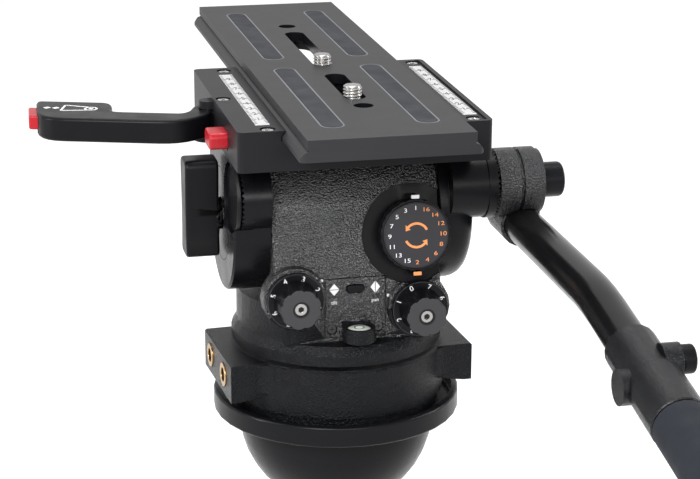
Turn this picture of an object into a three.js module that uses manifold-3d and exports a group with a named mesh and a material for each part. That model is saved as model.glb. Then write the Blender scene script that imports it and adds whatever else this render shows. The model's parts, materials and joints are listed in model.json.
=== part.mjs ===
// Video fluid head with a sliding camera plate and a clamped pan handle.
// Millimetres, +Z up. The origin is on the pan axis, on the flat underside of the mounting ring.
// The operator stands on the -Y side, the camera looks towards +Y.
import * as THREE from 'three';
import * as BufferGeometryUtils from 'three/addons/utils/BufferGeometryUtils.js';
import Module from 'manifold-3d';

const wasm = await Module();
wasm.setup();

// Clearances, cuts and roundness shared by all pieces
const gap = 0.3;
const slidingGap = 0.5;
const overrun = 5;
const roundShare = 0.98;
const weld = 0.0005;
const bigSides = 36;
const midSides = 20;
const smallSides = 12;

// Mounting ring, half ball and tie-down below the base
const ring = { radius: 63, height: 10.7, lip: 3.5, recess: 5.5, chamfer: 0.8 };
const ball = { radius: 50, depth: 36, centreDrop: 4 };
const stud = { radius: 6, length: 62, seat: 4 };
const tieDown = { dishRadius: 30, dishHeight: 9, gripRadius: 17, gripHeight: 24, drop: 50, lobeDepth: 1.6,
  lobes: 8 };

// Fixed pan base with its two accessory blocks
const base = { inset: 8, top: 37, chamfer: 1.2, panAngle: 3.8 };
base.radius = ring.radius - base.inset;
const block = { proud: 7.8, near: -31.6, far: 26.3, bottom: 17.5, top: 36.9, chamfer: 4, rootShare: 0.62,
  fillet: 10 };
block.reach = base.radius + block.proud;
const insert = { radius: 6.2, bore: 3.6, length: 9, near: -15, far: 14, height: 27, proud: 0.5 };
const insertPlaces = [{ name: 'left_near_insert', side: -1, y: insert.near },
  { name: 'left_far_insert', side: -1, y: insert.far }, { name: 'right_near_insert', side: 1,
  y: insert.near },
  { name: 'right_far_insert', side: 1, y: insert.far }];
const panShaft = { radius: 9, flangeRadius: 30, flangeHeight: 6, top: 66 };

// Rotating body: flange, neck, front box and tilt housing
const flange = { inset: 1.5, bottom: 38.8, bevelTop: 48.5, bevelStart: 44.2 };
flange.radius = base.radius - flange.inset;
const tilt = { rise: 57, left: -39.7, right: 43.6, radius: 37.5, bore: 30, wall: 4, wallTop: 31 };
tilt.height = flange.bevelTop + tilt.rise;
const neck = { step: 2.7, clear: 39.5 };
neck.radius = flange.radius - neck.step;
neck.top = tilt.height - neck.clear;
const box = { front: -41.6, back: 38, left: -34.7, right: 43.6, foldDrop: 23.5 };
box.foldHeight = tilt.height - box.foldDrop;
const tiltShaft = { radius: 8 };
const panCartridge = { radius: 32, bottom: 42, top: 58 };

// Front panel, its screws, the light button and the level
const panel = { left: -14.4, right: 15.7, bottom: 50.8, top: 80.8, thickness: 2.4, proud: 0.3 };
const panelScrew = { radius: 2.3, left: -10.9, right: 12.5, height: 54.7, length: 1.6, recess: 0.9 };
const lightButton = { width: 8.6, height: 3.9, x: 0.7, z: 75.3, proud: 0.9, travel: 0.6 };
const level = { radius: 8, x: 0.8, y: -49.9, bottom: 51.3, top: 58.6, wall: 1.6, floor: 2, vialHeight: 4.4,
  neckShare: 0.9,
  domeShare: 0.8 };

// Drag dials with their lobed knobs
const dial = { radius: 14.2, skirt: 3, bossRadius: 15.6, bossDepth: 3.4, bossTilt: 0.4 };
const knob = { radius: 10.1, lobeDepth: 0.8, lobes: 9, front: -61, coneRadius: 11, coneShare: 0.35,
  lobeShare: 0.8 };
const knobScrew = { radius: 3.1, socket: 1.5, depth: 2.4, recess: 0.4, shankShare: 0.6 };
const tiltDial = { x: -30.2, z: 72.9 };
const panDial = { x: 32.1, z: 64.8 };

// Counterbalance dial, which leans back
const counter = { x: 29.4, y: -48.6, drop: 2.7, lean: 10, radius: 17.7, faceRadius: 16.3, thickness: 7 };
counter.z = tilt.height - counter.drop;
const counterRim = { lobes: 24, lobeDepth: 0.55, step: 0.8 };
const counterRecess = { radius: 25, behind: 12.4, hubSeat: 3 };
const counterHub = { radius: 9 };

// Pan lock on the far side of the neck
const panLock = { z: 56, shaft: 4, hub: 8, hubLength: 10.5, reach: 30, width: 9, thickness: 6 };

// Saddle of the tilting platform
const saddle = { left: -61, right: 61.6, near: -66.7, far: 69.2, rise: 38.2, channel: 14.6, thickness: 19.5,
  corner: 3 };
saddle.bottom = tilt.height + saddle.rise;
saddle.floor = saddle.bottom + saddle.channel;
saddle.top = saddle.bottom + saddle.thickness;
const plateCentre = 2.5;
const rim = { width: 2.5, drop: 0.9 };
const strip = { width: 6.7, thickness: 1, leftX: -46.9, rightX: 53.5, near: -54, far: 52, proud: 0.25 };
const railScrew = { radius: 2.9, recessRadius: 3.8, length: 4, sink: 0.5, socket: 1.4, socketDepth: 1.6 };
const railScrewPlaces = { leftFar: [-46, 62.2], leftNear: [-46, -61.6], leftMiddle: [-56.4, 1.5],
  rightFar: [54.6, 62], rightNear: [53.4, -60.6] };

// Side arms that carry the saddle on the tilt axis
const leftArm = { outer: -58.5, inner: -40.4, radius: 38.2, edge: 1 };
const rightArm = { inner: 44.2, outer: 62.4, radius: 39, edge: 9 };
const web = { near: -33, far: 33, rise: 6.5, rightInner: 49 };
web.bottom = tilt.height + web.rise;
const rosette = { y: -27, rise: 15.4, radius: 17.2, teeth: 40, toothDepth: 1.3 };
rosette.z = tilt.height + rosette.rise;
const leftRosette = { lugEnd: -49, bossEnd: -54.6, capEnd: -57.4 };
const rightRosette = { spigotEnd: 67.8, bossEnd: 72.7, spigotRadius: 16.6 };
const disc = { radius: 23.5, thickness: 1.6 };

// Tilt lock wing lever
const wing = { inner: -60.6, outer: -77.3, up: 29, down: 20.5, endHalf: 8.5, waistHalf: 6, hubRadius: 8 };

// Platform lock lever with its pin, jaw and the two red buttons
const lever = { clear: 0.9, thickness: 11.9, angle: 17.5, reach: 87.7, endSlant: 13.5, rootReach: 14,
  rootNear: 15, armFar: 11, armNear: 27.9,
  stepStart: 40, stepEnd: 55, waistReach: 20 };
lever.bottom = saddle.bottom + lever.clear;
lever.top = lever.bottom + lever.thickness;
const pivot = { x: -62.7, y: 11, hub: 8.2, pin: 3, earHeight: 4.1, earRadius: 4.3, lowerEar: 7,
  lowerEarDrop: 3.1 };
pivot.earTop = lever.top + pivot.earHeight;
pivot.lowerEarBottom = saddle.bottom - pivot.lowerEarDrop;
const paddle = { far: 7.6, near: 27.7, farCorner: 4, nearCorner: 13 };
const jaw = { near: -15, far: 38, width: 8, height: 3, travel: 1.5 };
const tipButton = { width: 18, height: 7, depth: 9, proud: 4.2, travel: 1.8, aside: -6 };
const safety = { outer: -69.6, inner: -59.4, near: -38, far: -22.5, rise: 3.8, height: 8.5, travel: 2.6,
  corner: 3 };
safety.bottom = saddle.bottom + safety.rise;
safety.top = safety.bottom + safety.height;

// Camera plate with its pads, slots and screws
const plate = { near: -108.4, far: 205.1, thickness: 10.4, halfWidth: 39.2, flangeHalf: 42.5,
  flangeHeight: 1.8,
  slopeHalf: 40.5, slopeHeight: 4.4, notchHalf: 38.2, notchHeight: 5.3, corner: 3 };
plate.bottom = saddle.floor + gap;
plate.top = plate.bottom + plate.thickness;
plate.flangeTop = plate.bottom + plate.flangeHeight;
plate.slopeTop = plate.bottom + plate.slopeHeight;
plate.notchTop = plate.bottom + plate.notchHeight;
const pad = { width: 9.6, offset: 22.4, recess: 0.6, proud: 0.2, near: [-87.6, 36], far: [57.7, 180.5] };
const padPlaces = [{ name: 'left_near_pad', side: -1, ends: pad.near }, { name: 'right_near_pad', side: 1,
  ends: pad.near },
  { name: 'left_far_pad', side: -1, ends: pad.far }, { name: 'right_far_pad', side: 1, ends: pad.far }];
const slot = { width: 10.4, counterWidth: 18, counterDepth: 5.2, near: [-36, 19.5], far: [39.5, 124] };
const plateHole = { radius: 4.75, near: -49, far: 140 };
const cameraScrew = { radius: 4.7, rise: 4.6, headRadius: 8, headHeight: 3, nearY: -25.5, farY: 45.2 };

// Handle: clamp on the right rosette, bent tube, collar and grip
const clamp = { bandEnd: 83.8, secondBand: 85.6, outer: 94, rimEnd: 96.4, rimRadius: 16, grooveDepth: 1.6 };
const clampKnob = { radius: 8.8, end: 109.1, studRadius: 5, studLength: 12, chamfer: 1.2 };
const tube = { radius: 9.5, drop: 20.6, x: 87.7, start: -12, straightEnd: -131, bendRadius: 170,
  bendAngle: 10.6, end: -240,
  bore: 7.8, boreLength: 62 };
const socketBlock = { radius: 11.4, near: -34, far: -9, halfWidth: 7.6 };
const collar = { radius: 12, lowerRadius: 12.8, start: -191.5, split: -221, end: -252, wall: 0.4,
  groove: 1.2 };
const collarLug = { radius: 8, y: -218, drop: 2, reach: 15 };
const collarScrew = { radius: 6.4, pin: 2.2, rim: 1.3, bossEnd: 13.2, reach: 19.5, y: -214, rise: 6 };
const grip = { radius: 12.6, end: -400, capLength: 10, ribDepth: 0.6 };

// Colours and surface values
function finish(color, roughness, metalness) {
  return new THREE.MeshStandardMaterial({ color, roughness, metalness });
}

const crinkle = finish(0x191a1c, 0.55, 0.1);
const satin = finish(0x232427, 0.4, 0.5);
const anodised = finish(0x2b2c30, 0.38, 0.6);
const moulded = finish(0x1d1e20, 0.45, 0);
const red = finish(0xc8202a, 0.35, 0);
const steel = finish(0xb9bcc0, 0.25, 1);
const brass = finish(0xb08a45, 0.3, 1);
const white = finish(0xe8e8e6, 0.5, 0);
const rubber = finish(0x35373b, 0.8, 0);
const vialGlass = finish(0xd8e0c8, 0.1, 0);

// Solids: turning a three.js geometry into a clean closed solid and back
function cleanParts(geometry) {
  const bare = new THREE.BufferGeometry();
  bare.setAttribute('position', geometry.getAttribute('position').clone());
  if (geometry.index) {
    bare.setIndex(geometry.index.clone());
  }
  const merged = BufferGeometryUtils.mergeVertices(bare, weld);
  const points = merged.getAttribute('position').array;
  const all = merged.index.array;
  const corners = [];
  let volume = 0;
  for (let i = 0; i < all.length; i += 3) {
    const [a, b, c] = [all[i], all[i + 1], all[i + 2]];
    if (a !== b && b !== c && c !== a) {
      corners.push(a, b, c);
      const pa = new THREE.Vector3().fromArray(points, 3 * a);
      const pb = new THREE.Vector3().fromArray(points, 3 * b);
      const pc = new THREE.Vector3().fromArray(points, 3 * c);
      volume += pa.dot(pb.cross(pc));
    }
  }
  if (volume < 0) {
    corners.reverse();
  }
  return { vertProperties: new Float32Array(points), triVerts: new Uint32Array(corners) };
}

function solid(geometry) {
  const parts = cleanParts(geometry);
  return new wasm.Manifold(new wasm.Mesh({ numProp: 3, ...parts }));
}

function geometryOf(manifold) {
  const mesh = manifold.getMesh();
  const geometry = new THREE.BufferGeometry();
  geometry.setAttribute('position', new THREE.BufferAttribute(new Float32Array(mesh.vertProperties), 3));
  geometry.setIndex(new THREE.BufferAttribute(new Uint32Array(mesh.triVerts), 1));
  geometry.computeVertexNormals();
  return geometry;
}

function joined(...solids) {
  return solids.reduce((sum, next) => sum.add(next));
}

function cut(body, ...tools) {
  return tools.reduce((rest, tool) => rest.subtract(tool), body);
}

function piece(name, shape, material) {
  const mesh = new THREE.Mesh(geometryOf(shape), material);
  mesh.name = name;
  return mesh;
}

// Turned shapes: the profile lists [radius, station along the axis]
function turned(profile, sides) {
  const points = profile.map(([radius, station]) => new THREE.Vector2(radius, station));
  const onAxis = profile[0][0] === 0 && profile[profile.length - 1][0] === 0;
  if (!onAxis) {
    points.push(points[0].clone());
  }
  return new THREE.LatheGeometry(points, sides);
}

function turnedUp(profile, sides, x = 0, y = 0) {
  return solid(turned(profile, sides).rotateX(Math.PI / 2).translate(x, y, 0));
}

function turnedAcross(profile, sides, y = 0, z = 0) {
  return solid(turned(profile, sides).rotateZ(-Math.PI / 2).translate(0, y, z));
}

function turnedForward(profile, sides, x, z) {
  return solid(turned(profile, sides).translate(x, 0, z));
}

function rod(radius, from, to) {
  return [[0, from], [radius, from], [radius, to], [0, to]];
}

function tubeProfile(inner, outer, from, to) {
  return [[inner, from], [outer, from], [outer, to], [inner, to]];
}

function chamferedRod(radius, from, to, chamferFrom, chamferTo) {
  return [[0, from], [radius - chamferFrom, from], [radius, from + chamferFrom],
    [radius, to - chamferTo], [radius - chamferTo, to], [0, to]];
}

// Prisms: an outline in two axes, extruded along the third
function outline(points) {
  return new THREE.Shape(points.map(([u, v]) => new THREE.Vector2(u, v)));
}

function prism(shape, depth, curveSegments = 8) {
  return new THREE.ExtrudeGeometry(shape, { depth, bevelEnabled: false, curveSegments });
}

function prismUp(shape, bottom, top, curveSegments) {
  return solid(prism(shape, top - bottom, curveSegments).translate(0, 0, bottom));
}

// The outline is in Y and Z, the depth runs along +X
function prismAcross(shape, from, to, curveSegments) {
  const basis = new THREE.Matrix4().makeBasis(
    new THREE.Vector3(0, 1, 0), new THREE.Vector3(0, 0, 1), new THREE.Vector3(1, 0, 0));
  return solid(prism(shape, to - from, curveSegments).applyMatrix4(basis).translate(from, 0, 0));
}

// The outline is in X and Z, the depth runs along +Y
function prismForward(shape, from, to, curveSegments) {
  const basis = new THREE.Matrix4().makeBasis(
    new THREE.Vector3(1, 0, 0), new THREE.Vector3(0, 0, 1), new THREE.Vector3(0, -1, 0));
  return solid(prism(shape, to - from, curveSegments).applyMatrix4(basis).translate(0, to, 0));
}

function roundedOutline(left, right, low, high, radius) {
  const shape = new THREE.Shape();
  shape.moveTo(left + radius, low);
  shape.lineTo(right - radius, low);
  shape.absarc(right - radius, low + radius, radius, -Math.PI / 2, 0);
  shape.lineTo(right, high - radius);
  shape.absarc(right - radius, high - radius, radius, 0, Math.PI / 2);
  shape.lineTo(left + radius, high);
  shape.absarc(left + radius, high - radius, radius, Math.PI / 2, Math.PI);
  shape.lineTo(left, low + radius);
  shape.absarc(left + radius, low + radius, radius, Math.PI, Math.PI * 1.5);
  return shape;
}

function boxSolid(x0, x1, y0, y1, z0, z1) {
  const shape = outline([[x0, y0], [x1, y0], [x1, y1], [x0, y1]]);
  return prismUp(shape, z0, z1);
}

function roundBar(x0, x1, y0, y1, z0, z1, radius, curveSegments = 6) {
  return prismUp(roundedOutline(x0, x1, y0, y1, radius), z0, z1, curveSegments);
}

// A lobed outline: the radius rises and falls once for each lobe
function lobedOutline(radius, depth, lobes, stepsPerLobe, squash = 1) {
  const shape = [];
  const count = lobes * stepsPerLobe;
  for (let i = 0; i < count; i += 1) {
    const angle = 2 * Math.PI * i / count;
    const wave = Math.abs(Math.sin(angle * lobes / 2)) ** squash;
    const reach = radius - depth * (1 - wave);
    shape.push([reach * Math.cos(angle), reach * Math.sin(angle)]);
  }
  return shape;
}

// A disc whose one face carries radial teeth, from the axis out to the rim
function toothedDisc(radius, from, to, teeth, depth, phase) {
  const count = teeth * 2;
  const points = [from, 0, 0, to, 0, 0];
  for (let i = 0; i < count; i += 1) {
    const angle = 2 * Math.PI * (i + phase) / count;
    const across = radius * Math.cos(angle);
    const upward = radius * Math.sin(angle);
    const swing = (i % 2 === 0 ? 1 : -1) * depth / 2;
    points.push(from, across, upward, to + swing, across, upward);
  }
  const faces = [];
  for (let i = 0; i < count; i += 1) {
    const next = (i + 1) % count;
    const [a0, a1, b0, b1] = [2 + 2 * i, 3 + 2 * i, 2 + 2 * next, 3 + 2 * next];
    faces.push(0, b0, a0, 1, a1, b1, a0, b0, b1, a0, b1, a1);
  }
  const geometry = new THREE.BufferGeometry();
  geometry.setAttribute('position', new THREE.BufferAttribute(new Float32Array(points), 3));
  geometry.setIndex(faces);
  return geometry;
}

// Base: everything that stays still on the tripod
function mountingRing() {
  const recessFloor = ring.height - ring.recess;
  const inner = base.radius - ring.chamfer;
  const profile = [[0, 0], [ring.radius - ring.chamfer, 0], [ring.radius, ring.chamfer],
    [ring.radius, ring.height - ring.chamfer], [ring.radius - ring.chamfer, ring.height],
    [ring.radius - ring.lip, ring.height], [ring.radius - ring.lip, recessFloor], [inner, recessFloor],
    [0, recessFloor]];
  const body = turnedUp(profile, bigSides);
  return piece('mounting_ring', body, satin);
}

function studHole() {
  return turnedUp(rod(stud.radius + gap, -ball.depth - overrun, gap - stud.seat), midSides);
}

function halfBall() {
  const steps = 5;
  const lowAngle = Math.asin((ball.depth - ball.centreDrop) / ball.radius);
  const highAngle = Math.asin((gap - ball.centreDrop) / ball.radius);
  const profile = [[0, -ball.depth]];
  for (let i = 0; i <= steps; i += 1) {
    const angle = lowAngle + (highAngle - lowAngle) * i / steps;
    profile.push([ball.radius * Math.cos(angle), -ball.centreDrop - ball.radius * Math.sin(angle)]);
  }
  profile.push([0, -gap]);
  return piece('half_ball', cut(turnedUp(profile, bigSides), studHole()), satin);
}

function tieDownStud() {
  const profile = chamferedRod(stud.radius, -ball.depth - stud.length, -stud.seat, ring.chamfer, 0);
  return piece('tie_down_stud', turnedUp(profile, midSides), steel);
}

function tieDownKnob() {
  const top = -tieDown.drop;
  const gripTop = top - tieDown.dishHeight;
  const gripBottom = gripTop - tieDown.gripHeight;
  const dish = turnedUp([[0, gripTop], [tieDown.gripRadius, gripTop], [tieDown.dishRadius,
    top - stud.radius / 2],
    [tieDown.dishRadius, top], [0, top]], midSides);
  const shape = outline(lobedOutline(tieDown.gripRadius, tieDown.lobeDepth, tieDown.lobes, 6));
  const hole = turnedUp(rod(stud.radius + gap, gripBottom - overrun, top + overrun), midSides);
  const handle = prismUp(shape, gripBottom, gripTop + ring.chamfer);
  return piece('tie_down_knob', cut(joined(dish, handle), hole), moulded);
}

function accessoryBlock(side) {
  const inner = base.radius * block.rootShare;
  const low = block.bottom;
  const shape = outline([[inner, low + block.chamfer], [block.reach - block.chamfer, low], [block.reach, low],
    [block.reach, block.top - ring.chamfer], [block.reach - ring.chamfer, block.top], [inner, block.top]]);
  const body = joined(prismForward(shape, block.near, block.far), blockFillet(-1), blockFillet(1));
  return side < 0 ? body.mirror([1, 0, 0]) : body;
}

// The hollow fillet that leads from a block's near or far face into the round base
function blockFillet(end) {
  const face = end < 0 ? block.near : block.far;
  const centreY = face + end * block.fillet;
  const centreX = Math.sqrt((base.radius + block.fillet) ** 2 - centreY ** 2);
  const turnEnd = Math.atan2(-centreY, -centreX);
  const turnStart = -end * Math.PI / 2;
  const sweep = THREE.MathUtils.euclideanModulo(turnEnd - turnStart + Math.PI, 2 * Math.PI) - Math.PI;
  const points = [[base.radius * block.rootShare, face / 2], [centreX, face / 2]];
  const steps = 5;
  for (let i = 0; i <= steps; i += 1) {
    const angle = turnStart + sweep * i / steps;
    points.push([centreX + block.fillet * Math.cos(angle), centreY + block.fillet * Math.sin(angle)]);
  }
  return prismUp(outline(points), block.bottom + block.chamfer, block.top - ring.chamfer);
}

function insertPocket(side, y) {
  const bottom = block.reach - insert.length - gap;
  const profile = rod(insert.radius + gap / 2, bottom, block.reach + overrun);
  const tool = turnedAcross(profile, midSides, y, insert.height);
  return side < 0 ? tool.mirror([1, 0, 0]) : tool;
}

function panBase() {
  const bottom = ring.height - ring.recess + gap;
  const shaftBore = panShaft.flangeRadius + gap;
  const floor = bottom + panShaft.flangeHeight;
  const foot = base.radius - base.chamfer * 2;
  const profile = [[0, bottom], [foot, bottom], [foot, ring.height], [base.radius,
    ring.height + base.chamfer],
    [base.radius, base.top - base.chamfer], [base.radius - base.chamfer, base.top], [0, base.top]];
  const bore = turnedUp(rod(shaftBore, floor, base.top + overrun), bigSides);
  const pockets = insertPlaces.map(({ side, y }) => insertPocket(side, y));
  const body = joined(turnedUp(profile, bigSides), accessoryBlock(-1), accessoryBlock(1));
  return piece('pan_base', cut(body, bore, ...pockets), crinkle);
}

function brassInsert(name, side, y) {
  const from = block.reach - insert.length;
  const to = block.reach + insert.proud;
  const profile = tubeProfile(insert.bore, insert.radius, from, to);
  const body = turnedAcross(profile, smallSides, y, insert.height);
  return piece(name, side < 0 ? body.mirror([1, 0, 0]) : body, brass);
}

function panShaftPiece() {
  const floor = ring.height - ring.recess + gap + panShaft.flangeHeight;
  const bottom = floor + gap;
  const profile = [[0, bottom], [panShaft.flangeRadius, bottom], [panShaft.flangeRadius,
    bottom + panShaft.flangeHeight],
    [panShaft.radius, bottom + panShaft.flangeHeight], [panShaft.radius, panShaft.top], [0, panShaft.top]];
  return piece('pan_shaft', turnedUp(profile, midSides), steel);
}

// Pan body: everything between the pan axis and the tilt axis
function dragBoss(place) {
  const front = box.front - dial.bossDepth;
  const back = box.front + dial.bossDepth;
  return turnedForward([[0, front], [dial.bossRadius, front], [dial.bossRadius + dial.bossTilt, back], [0,
    back]],
    midSides, place.x, place.z);
}

function frontBox() {
  const low = flange.bevelTop - gap;
  const shape = outline([[box.front, low], [box.back, low], [box.back, tilt.height], [-tilt.radius,
    tilt.height],
    [box.front, box.foldHeight]]);
  const upper = outline([[box.front, box.foldHeight], [box.back, box.foldHeight], [box.back, tilt.height],
    [-tilt.radius, tilt.height]]);
  return joined(prismAcross(shape, box.left, box.right), prismAcross(upper, tilt.left, box.right));
}

function dialAxisHole(place) {
  return turnedForward(rod(knobScrew.radius + gap, box.front - overrun - dial.bossDepth,
    box.front + overrun * 2),
    smallSides, place.x, place.z);
}

function leanedForward(profile, sides) {
  const lean = THREE.MathUtils.degToRad(counter.lean);
  const geometry = turned(profile, sides).rotateX(-lean).translate(counter.x, counter.y, counter.z);
  return solid(geometry);
}

function bodyCasting() {
  const skirt = turnedUp([[0, flange.bottom], [flange.radius, flange.bottom], [flange.radius,
    flange.bevelStart],
    [neck.radius, flange.bevelTop], [0, flange.bevelTop]], bigSides);
  const throat = turnedUp(rod(neck.radius, flange.bevelTop - gap, neck.top), bigSides);
  const behindFront = boxSolid(-neck.radius, neck.radius, box.front, neck.radius, flange.bottom, neck.top);
  const trimmedThroat = throat.intersect(behindFront);
  const housing = turnedAcross(rod(tilt.radius, tilt.left, tilt.right), bigSides, 0, tilt.height);
  const bore = turnedAcross(rod(tilt.bore, tilt.left - overrun, tilt.right + overrun), bigSides, 0,
    tilt.height);
  const midWall = turnedAcross(tubeProfile(tiltShaft.radius + gap, tilt.wallTop, plateCentre - tilt.wall / 2,
    plateCentre + tilt.wall / 2), midSides, 0, tilt.height);
  const panBore = turnedUp([[0, flange.bottom - overrun], [panCartridge.radius + gap,
    flange.bottom - overrun],
    [panCartridge.radius + gap, panCartridge.top + gap], [panShaft.radius + gap, panCartridge.top + gap],
    [panShaft.radius + gap, panShaft.top + gap], [0, panShaft.top + gap]], midSides);
  const panelPocket = boxSolid(panel.left - gap, panel.right + gap, box.front - overrun,
    box.front - panel.proud + panel.thickness + gap, panel.bottom - gap, panel.top + gap);
  const recess = leanedForward(rod(counterRecess.radius, -overrun, counterRecess.behind), midSides);
  const hubEnd = counterRecess.behind + counterRecess.hubSeat;
  const counterHole = leanedForward(rod(counterHub.radius + gap, 0, hubEnd), midSides);
  const lockHole = turnedForward(rod(panLock.shaft + gap, box.back, neck.radius + overrun), smallSides, 0,
    panLock.z);
  const body = joined(skirt, trimmedThroat, frontBox(), housing, dragBoss(tiltDial), dragBoss(panDial));
  const hollow = cut(body, bore, panBore, panelPocket, recess, counterHole, dialAxisHole(tiltDial),
    dialAxisHole(panDial), lockHole);
  return piece('body_casting', joined(hollow, midWall), crinkle);
}

function levelPanel() {
  const back = box.front - panel.proud + panel.thickness;
  const front = box.front - panel.proud;
  const body = boxSolid(panel.left, panel.right, front, back, panel.bottom, panel.top);
  const screwHoles = [panelScrew.left, panelScrew.right].map((x) => turnedForward(
    rod(panelScrew.radius + gap, front - overrun, front + panelScrew.recess + panelScrew.length + gap),
    smallSides, x,
    panelScrew.height));
  const buttonHole = prismForward(lightButtonOutline(gap), front - overrun, back + overrun, 5);
  return piece('level_panel', cut(body, ...screwHoles, buttonHole), crinkle);
}

function lightButtonOutline(margin) {
  const halfWidth = lightButton.width / 2 + margin;
  const halfHeight = lightButton.height / 2 + margin;
  return roundedOutline(lightButton.x - halfWidth, lightButton.x + halfWidth, lightButton.z - halfHeight,
    lightButton.z + halfHeight, halfHeight * roundShare);
}

function lightButtonPiece() {
  const front = box.front - panel.proud - lightButton.proud;
  const back = box.front - panel.proud + panel.thickness - lightButton.travel;
  return piece('light_button', prismForward(lightButtonOutline(0), front, back, 5), moulded);
}

function panelScrewPiece(name, x) {
  const front = box.front - panel.proud + panelScrew.recess;
  return piece(name, turnedForward(rod(panelScrew.radius, front, front + panelScrew.length), smallSides, x,
    panelScrew.height), steel);
}

function levelCup() {
  const top = level.top;
  const back = box.front - panel.proud - gap;
  const profile = [[0, level.bottom], [level.radius, level.bottom], [level.radius, top],
    [level.radius - level.wall, top],
    [level.radius - level.wall, level.bottom + level.floor], [0, level.bottom + level.floor]];
  const cup = turnedUp(profile, midSides, level.x, level.y);
  const halfNeck = level.radius * level.neckShare;
  const arm = boxSolid(level.x - halfNeck, level.x + halfNeck, level.y + level.radius / 2, back,
    level.bottom, top);
  const inner = turnedUp(rod(level.radius - level.wall, level.bottom + level.floor, top + overrun), midSides,
    level.x, level.y);
  return piece('level_cup', joined(cup, cut(arm, inner)), crinkle);
}

function levelVial() {
  const from = level.bottom + level.floor + gap;
  const profile = [[0, from], [level.radius - level.wall - gap, from],
    [level.radius - level.wall - gap, from + level.vialHeight * level.domeShare], [level.radius / 2,
    from + level.vialHeight],
    [0, from + level.vialHeight]];
  return piece('level_vial', turnedUp(profile, midSides, level.x, level.y), vialGlass);
}

function dialDisc(name, place) {
  const back = box.front - dial.bossDepth - gap;
  const profile = [[0, back - dial.skirt], [dial.radius - gap, back - dial.skirt], [dial.radius,
    back - dial.skirt + gap],
    [dial.radius, back], [0, back]];
  const body = turnedForward(profile, midSides, place.x, place.z);
  const shank = knobScrew.radius * knobScrew.shankShare;
  const hole = turnedForward(rod(shank, back - dial.skirt - overrun, back + overrun), smallSides, place.x,
    place.z);
  return piece(name, cut(body, hole), moulded);
}

function dialKnob(name, place) {
  const back = box.front - dial.bossDepth - 2 * gap - dial.skirt;
  const shape = outline(lobedOutline(knob.radius, knob.lobeDepth, knob.lobes, 6, knob.lobeShare));
  const body = prismForward(shape, knob.front, back).translate([place.x, 0, place.z]);
  const coneFront = back - (back - knob.front) * knob.coneShare;
  const cone = turnedForward([[0, coneFront], [knob.radius - knob.lobeDepth, coneFront], [knob.coneRadius,
    back],
    [0, back]], midSides, place.x, place.z);
  const seatEnd = knob.front + knobScrew.depth + knobScrew.recess + gap;
  const seat = turnedForward(rod(knobScrew.radius + gap / 2, knob.front - overrun, seatEnd), smallSides,
    place.x, place.z);
  return piece(name, cut(joined(body, cone), seat), moulded);
}

function dialScrew(name, place) {
  const front = knob.front + knobScrew.recess;
  const body = turnedForward(rod(knobScrew.radius, front, front + knobScrew.depth), smallSides, place.x,
    place.z);
  const socket = turnedForward(rod(knobScrew.socket, front - overrun, front + knobScrew.depth / 2), 6,
    place.x, place.z);
  return piece(name, cut(body, socket), steel);
}

function counterbalanceDial() {
  const rimFront = counterRim.step;
  const face = leanedForward(rod(counter.faceRadius, 0, counter.thickness), bigSides);
  const lean = THREE.MathUtils.degToRad(counter.lean);
  const shape = outline(lobedOutline(counter.radius, counterRim.lobeDepth, counterRim.lobes, 4));
  const rimBody = prismForward(shape, rimFront, counter.thickness);
  const placed = new THREE.Matrix4().makeRotationX(-lean).setPosition(counter.x, counter.y, counter.z);
  const turnedRim = rimBody.transform(placed.elements);
  const hub = leanedForward(rod(counterHub.radius, counter.thickness - gap,
    counterRecess.behind + counterRecess.hubSeat - gap), midSides);
  return piece('counterbalance_dial', joined(face, turnedRim, hub), moulded);
}

function tiltDragCartridge() {
  const profile = tubeProfile(tiltShaft.radius + gap, tilt.bore - gap, tilt.left + gap,
    plateCentre - tilt.wall / 2 - gap);
  return piece('tilt_drag_cartridge', turnedAcross(profile, midSides, 0, tilt.height), steel);
}

function counterbalanceCartridge() {
  const profile = tubeProfile(tiltShaft.radius + gap, tilt.bore - gap, plateCentre + tilt.wall / 2 + gap,
    tilt.right - gap);
  const body = turnedAcross(profile, midSides, 0, tilt.height);
  return piece('counterbalance_cartridge', body, steel);
}

function panDragCartridge() {
  const profile = tubeProfile(panShaft.radius + gap, panCartridge.radius, panCartridge.bottom,
    panCartridge.top);
  return piece('pan_drag_cartridge', turnedUp(profile, midSides), steel);
}

function panLockLever() {
  const near = box.back + gap * 2;
  const seat = neck.radius + gap;
  const hub = turnedForward(rod(panLock.hub, seat, seat + panLock.hubLength), midSides, 0, panLock.z);
  const shaft = turnedForward(rod(panLock.shaft, near, seat + gap), smallSides, 0, panLock.z);
  const arm = prismForward(roundedOutline(-panLock.width / 2, panLock.reach, panLock.z - panLock.width / 2,
    panLock.z + panLock.width / 2, panLock.width / 2 * roundShare),
    seat + panLock.hubLength - panLock.thickness,
    seat + panLock.hubLength, 5);
  return piece('pan_lock_lever', joined(hub, shaft, arm), moulded);
}

// Platform: saddle, arms and what they carry
function dovetailChannel() {
  const shift = slidingGap;
  const floor = saddle.floor;
  const half = plate.flangeHalf + shift;
  const topHalf = plate.slopeHalf + shift;
  const shape = outline([[plateCentre - half, floor], [plateCentre + half, floor], [plateCentre + half,
    plate.flangeTop],
    [plateCentre + topHalf, plate.slopeTop], [plateCentre + topHalf, plate.slopeTop + overrun],
    [plateCentre - topHalf, plate.slopeTop + overrun], [plateCentre - topHalf, plate.slopeTop],
    [plateCentre - half, plate.flangeTop]]);
  return prismForward(shape, saddle.near - overrun, saddle.far + overrun);
}

function screwPocket([x, y]) {
  const bottom = saddle.top - railScrew.sink - railScrew.length - gap;
  return turnedUp(rod(railScrew.recessRadius, bottom, saddle.top + overrun), smallSides, x, y);
}

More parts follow.
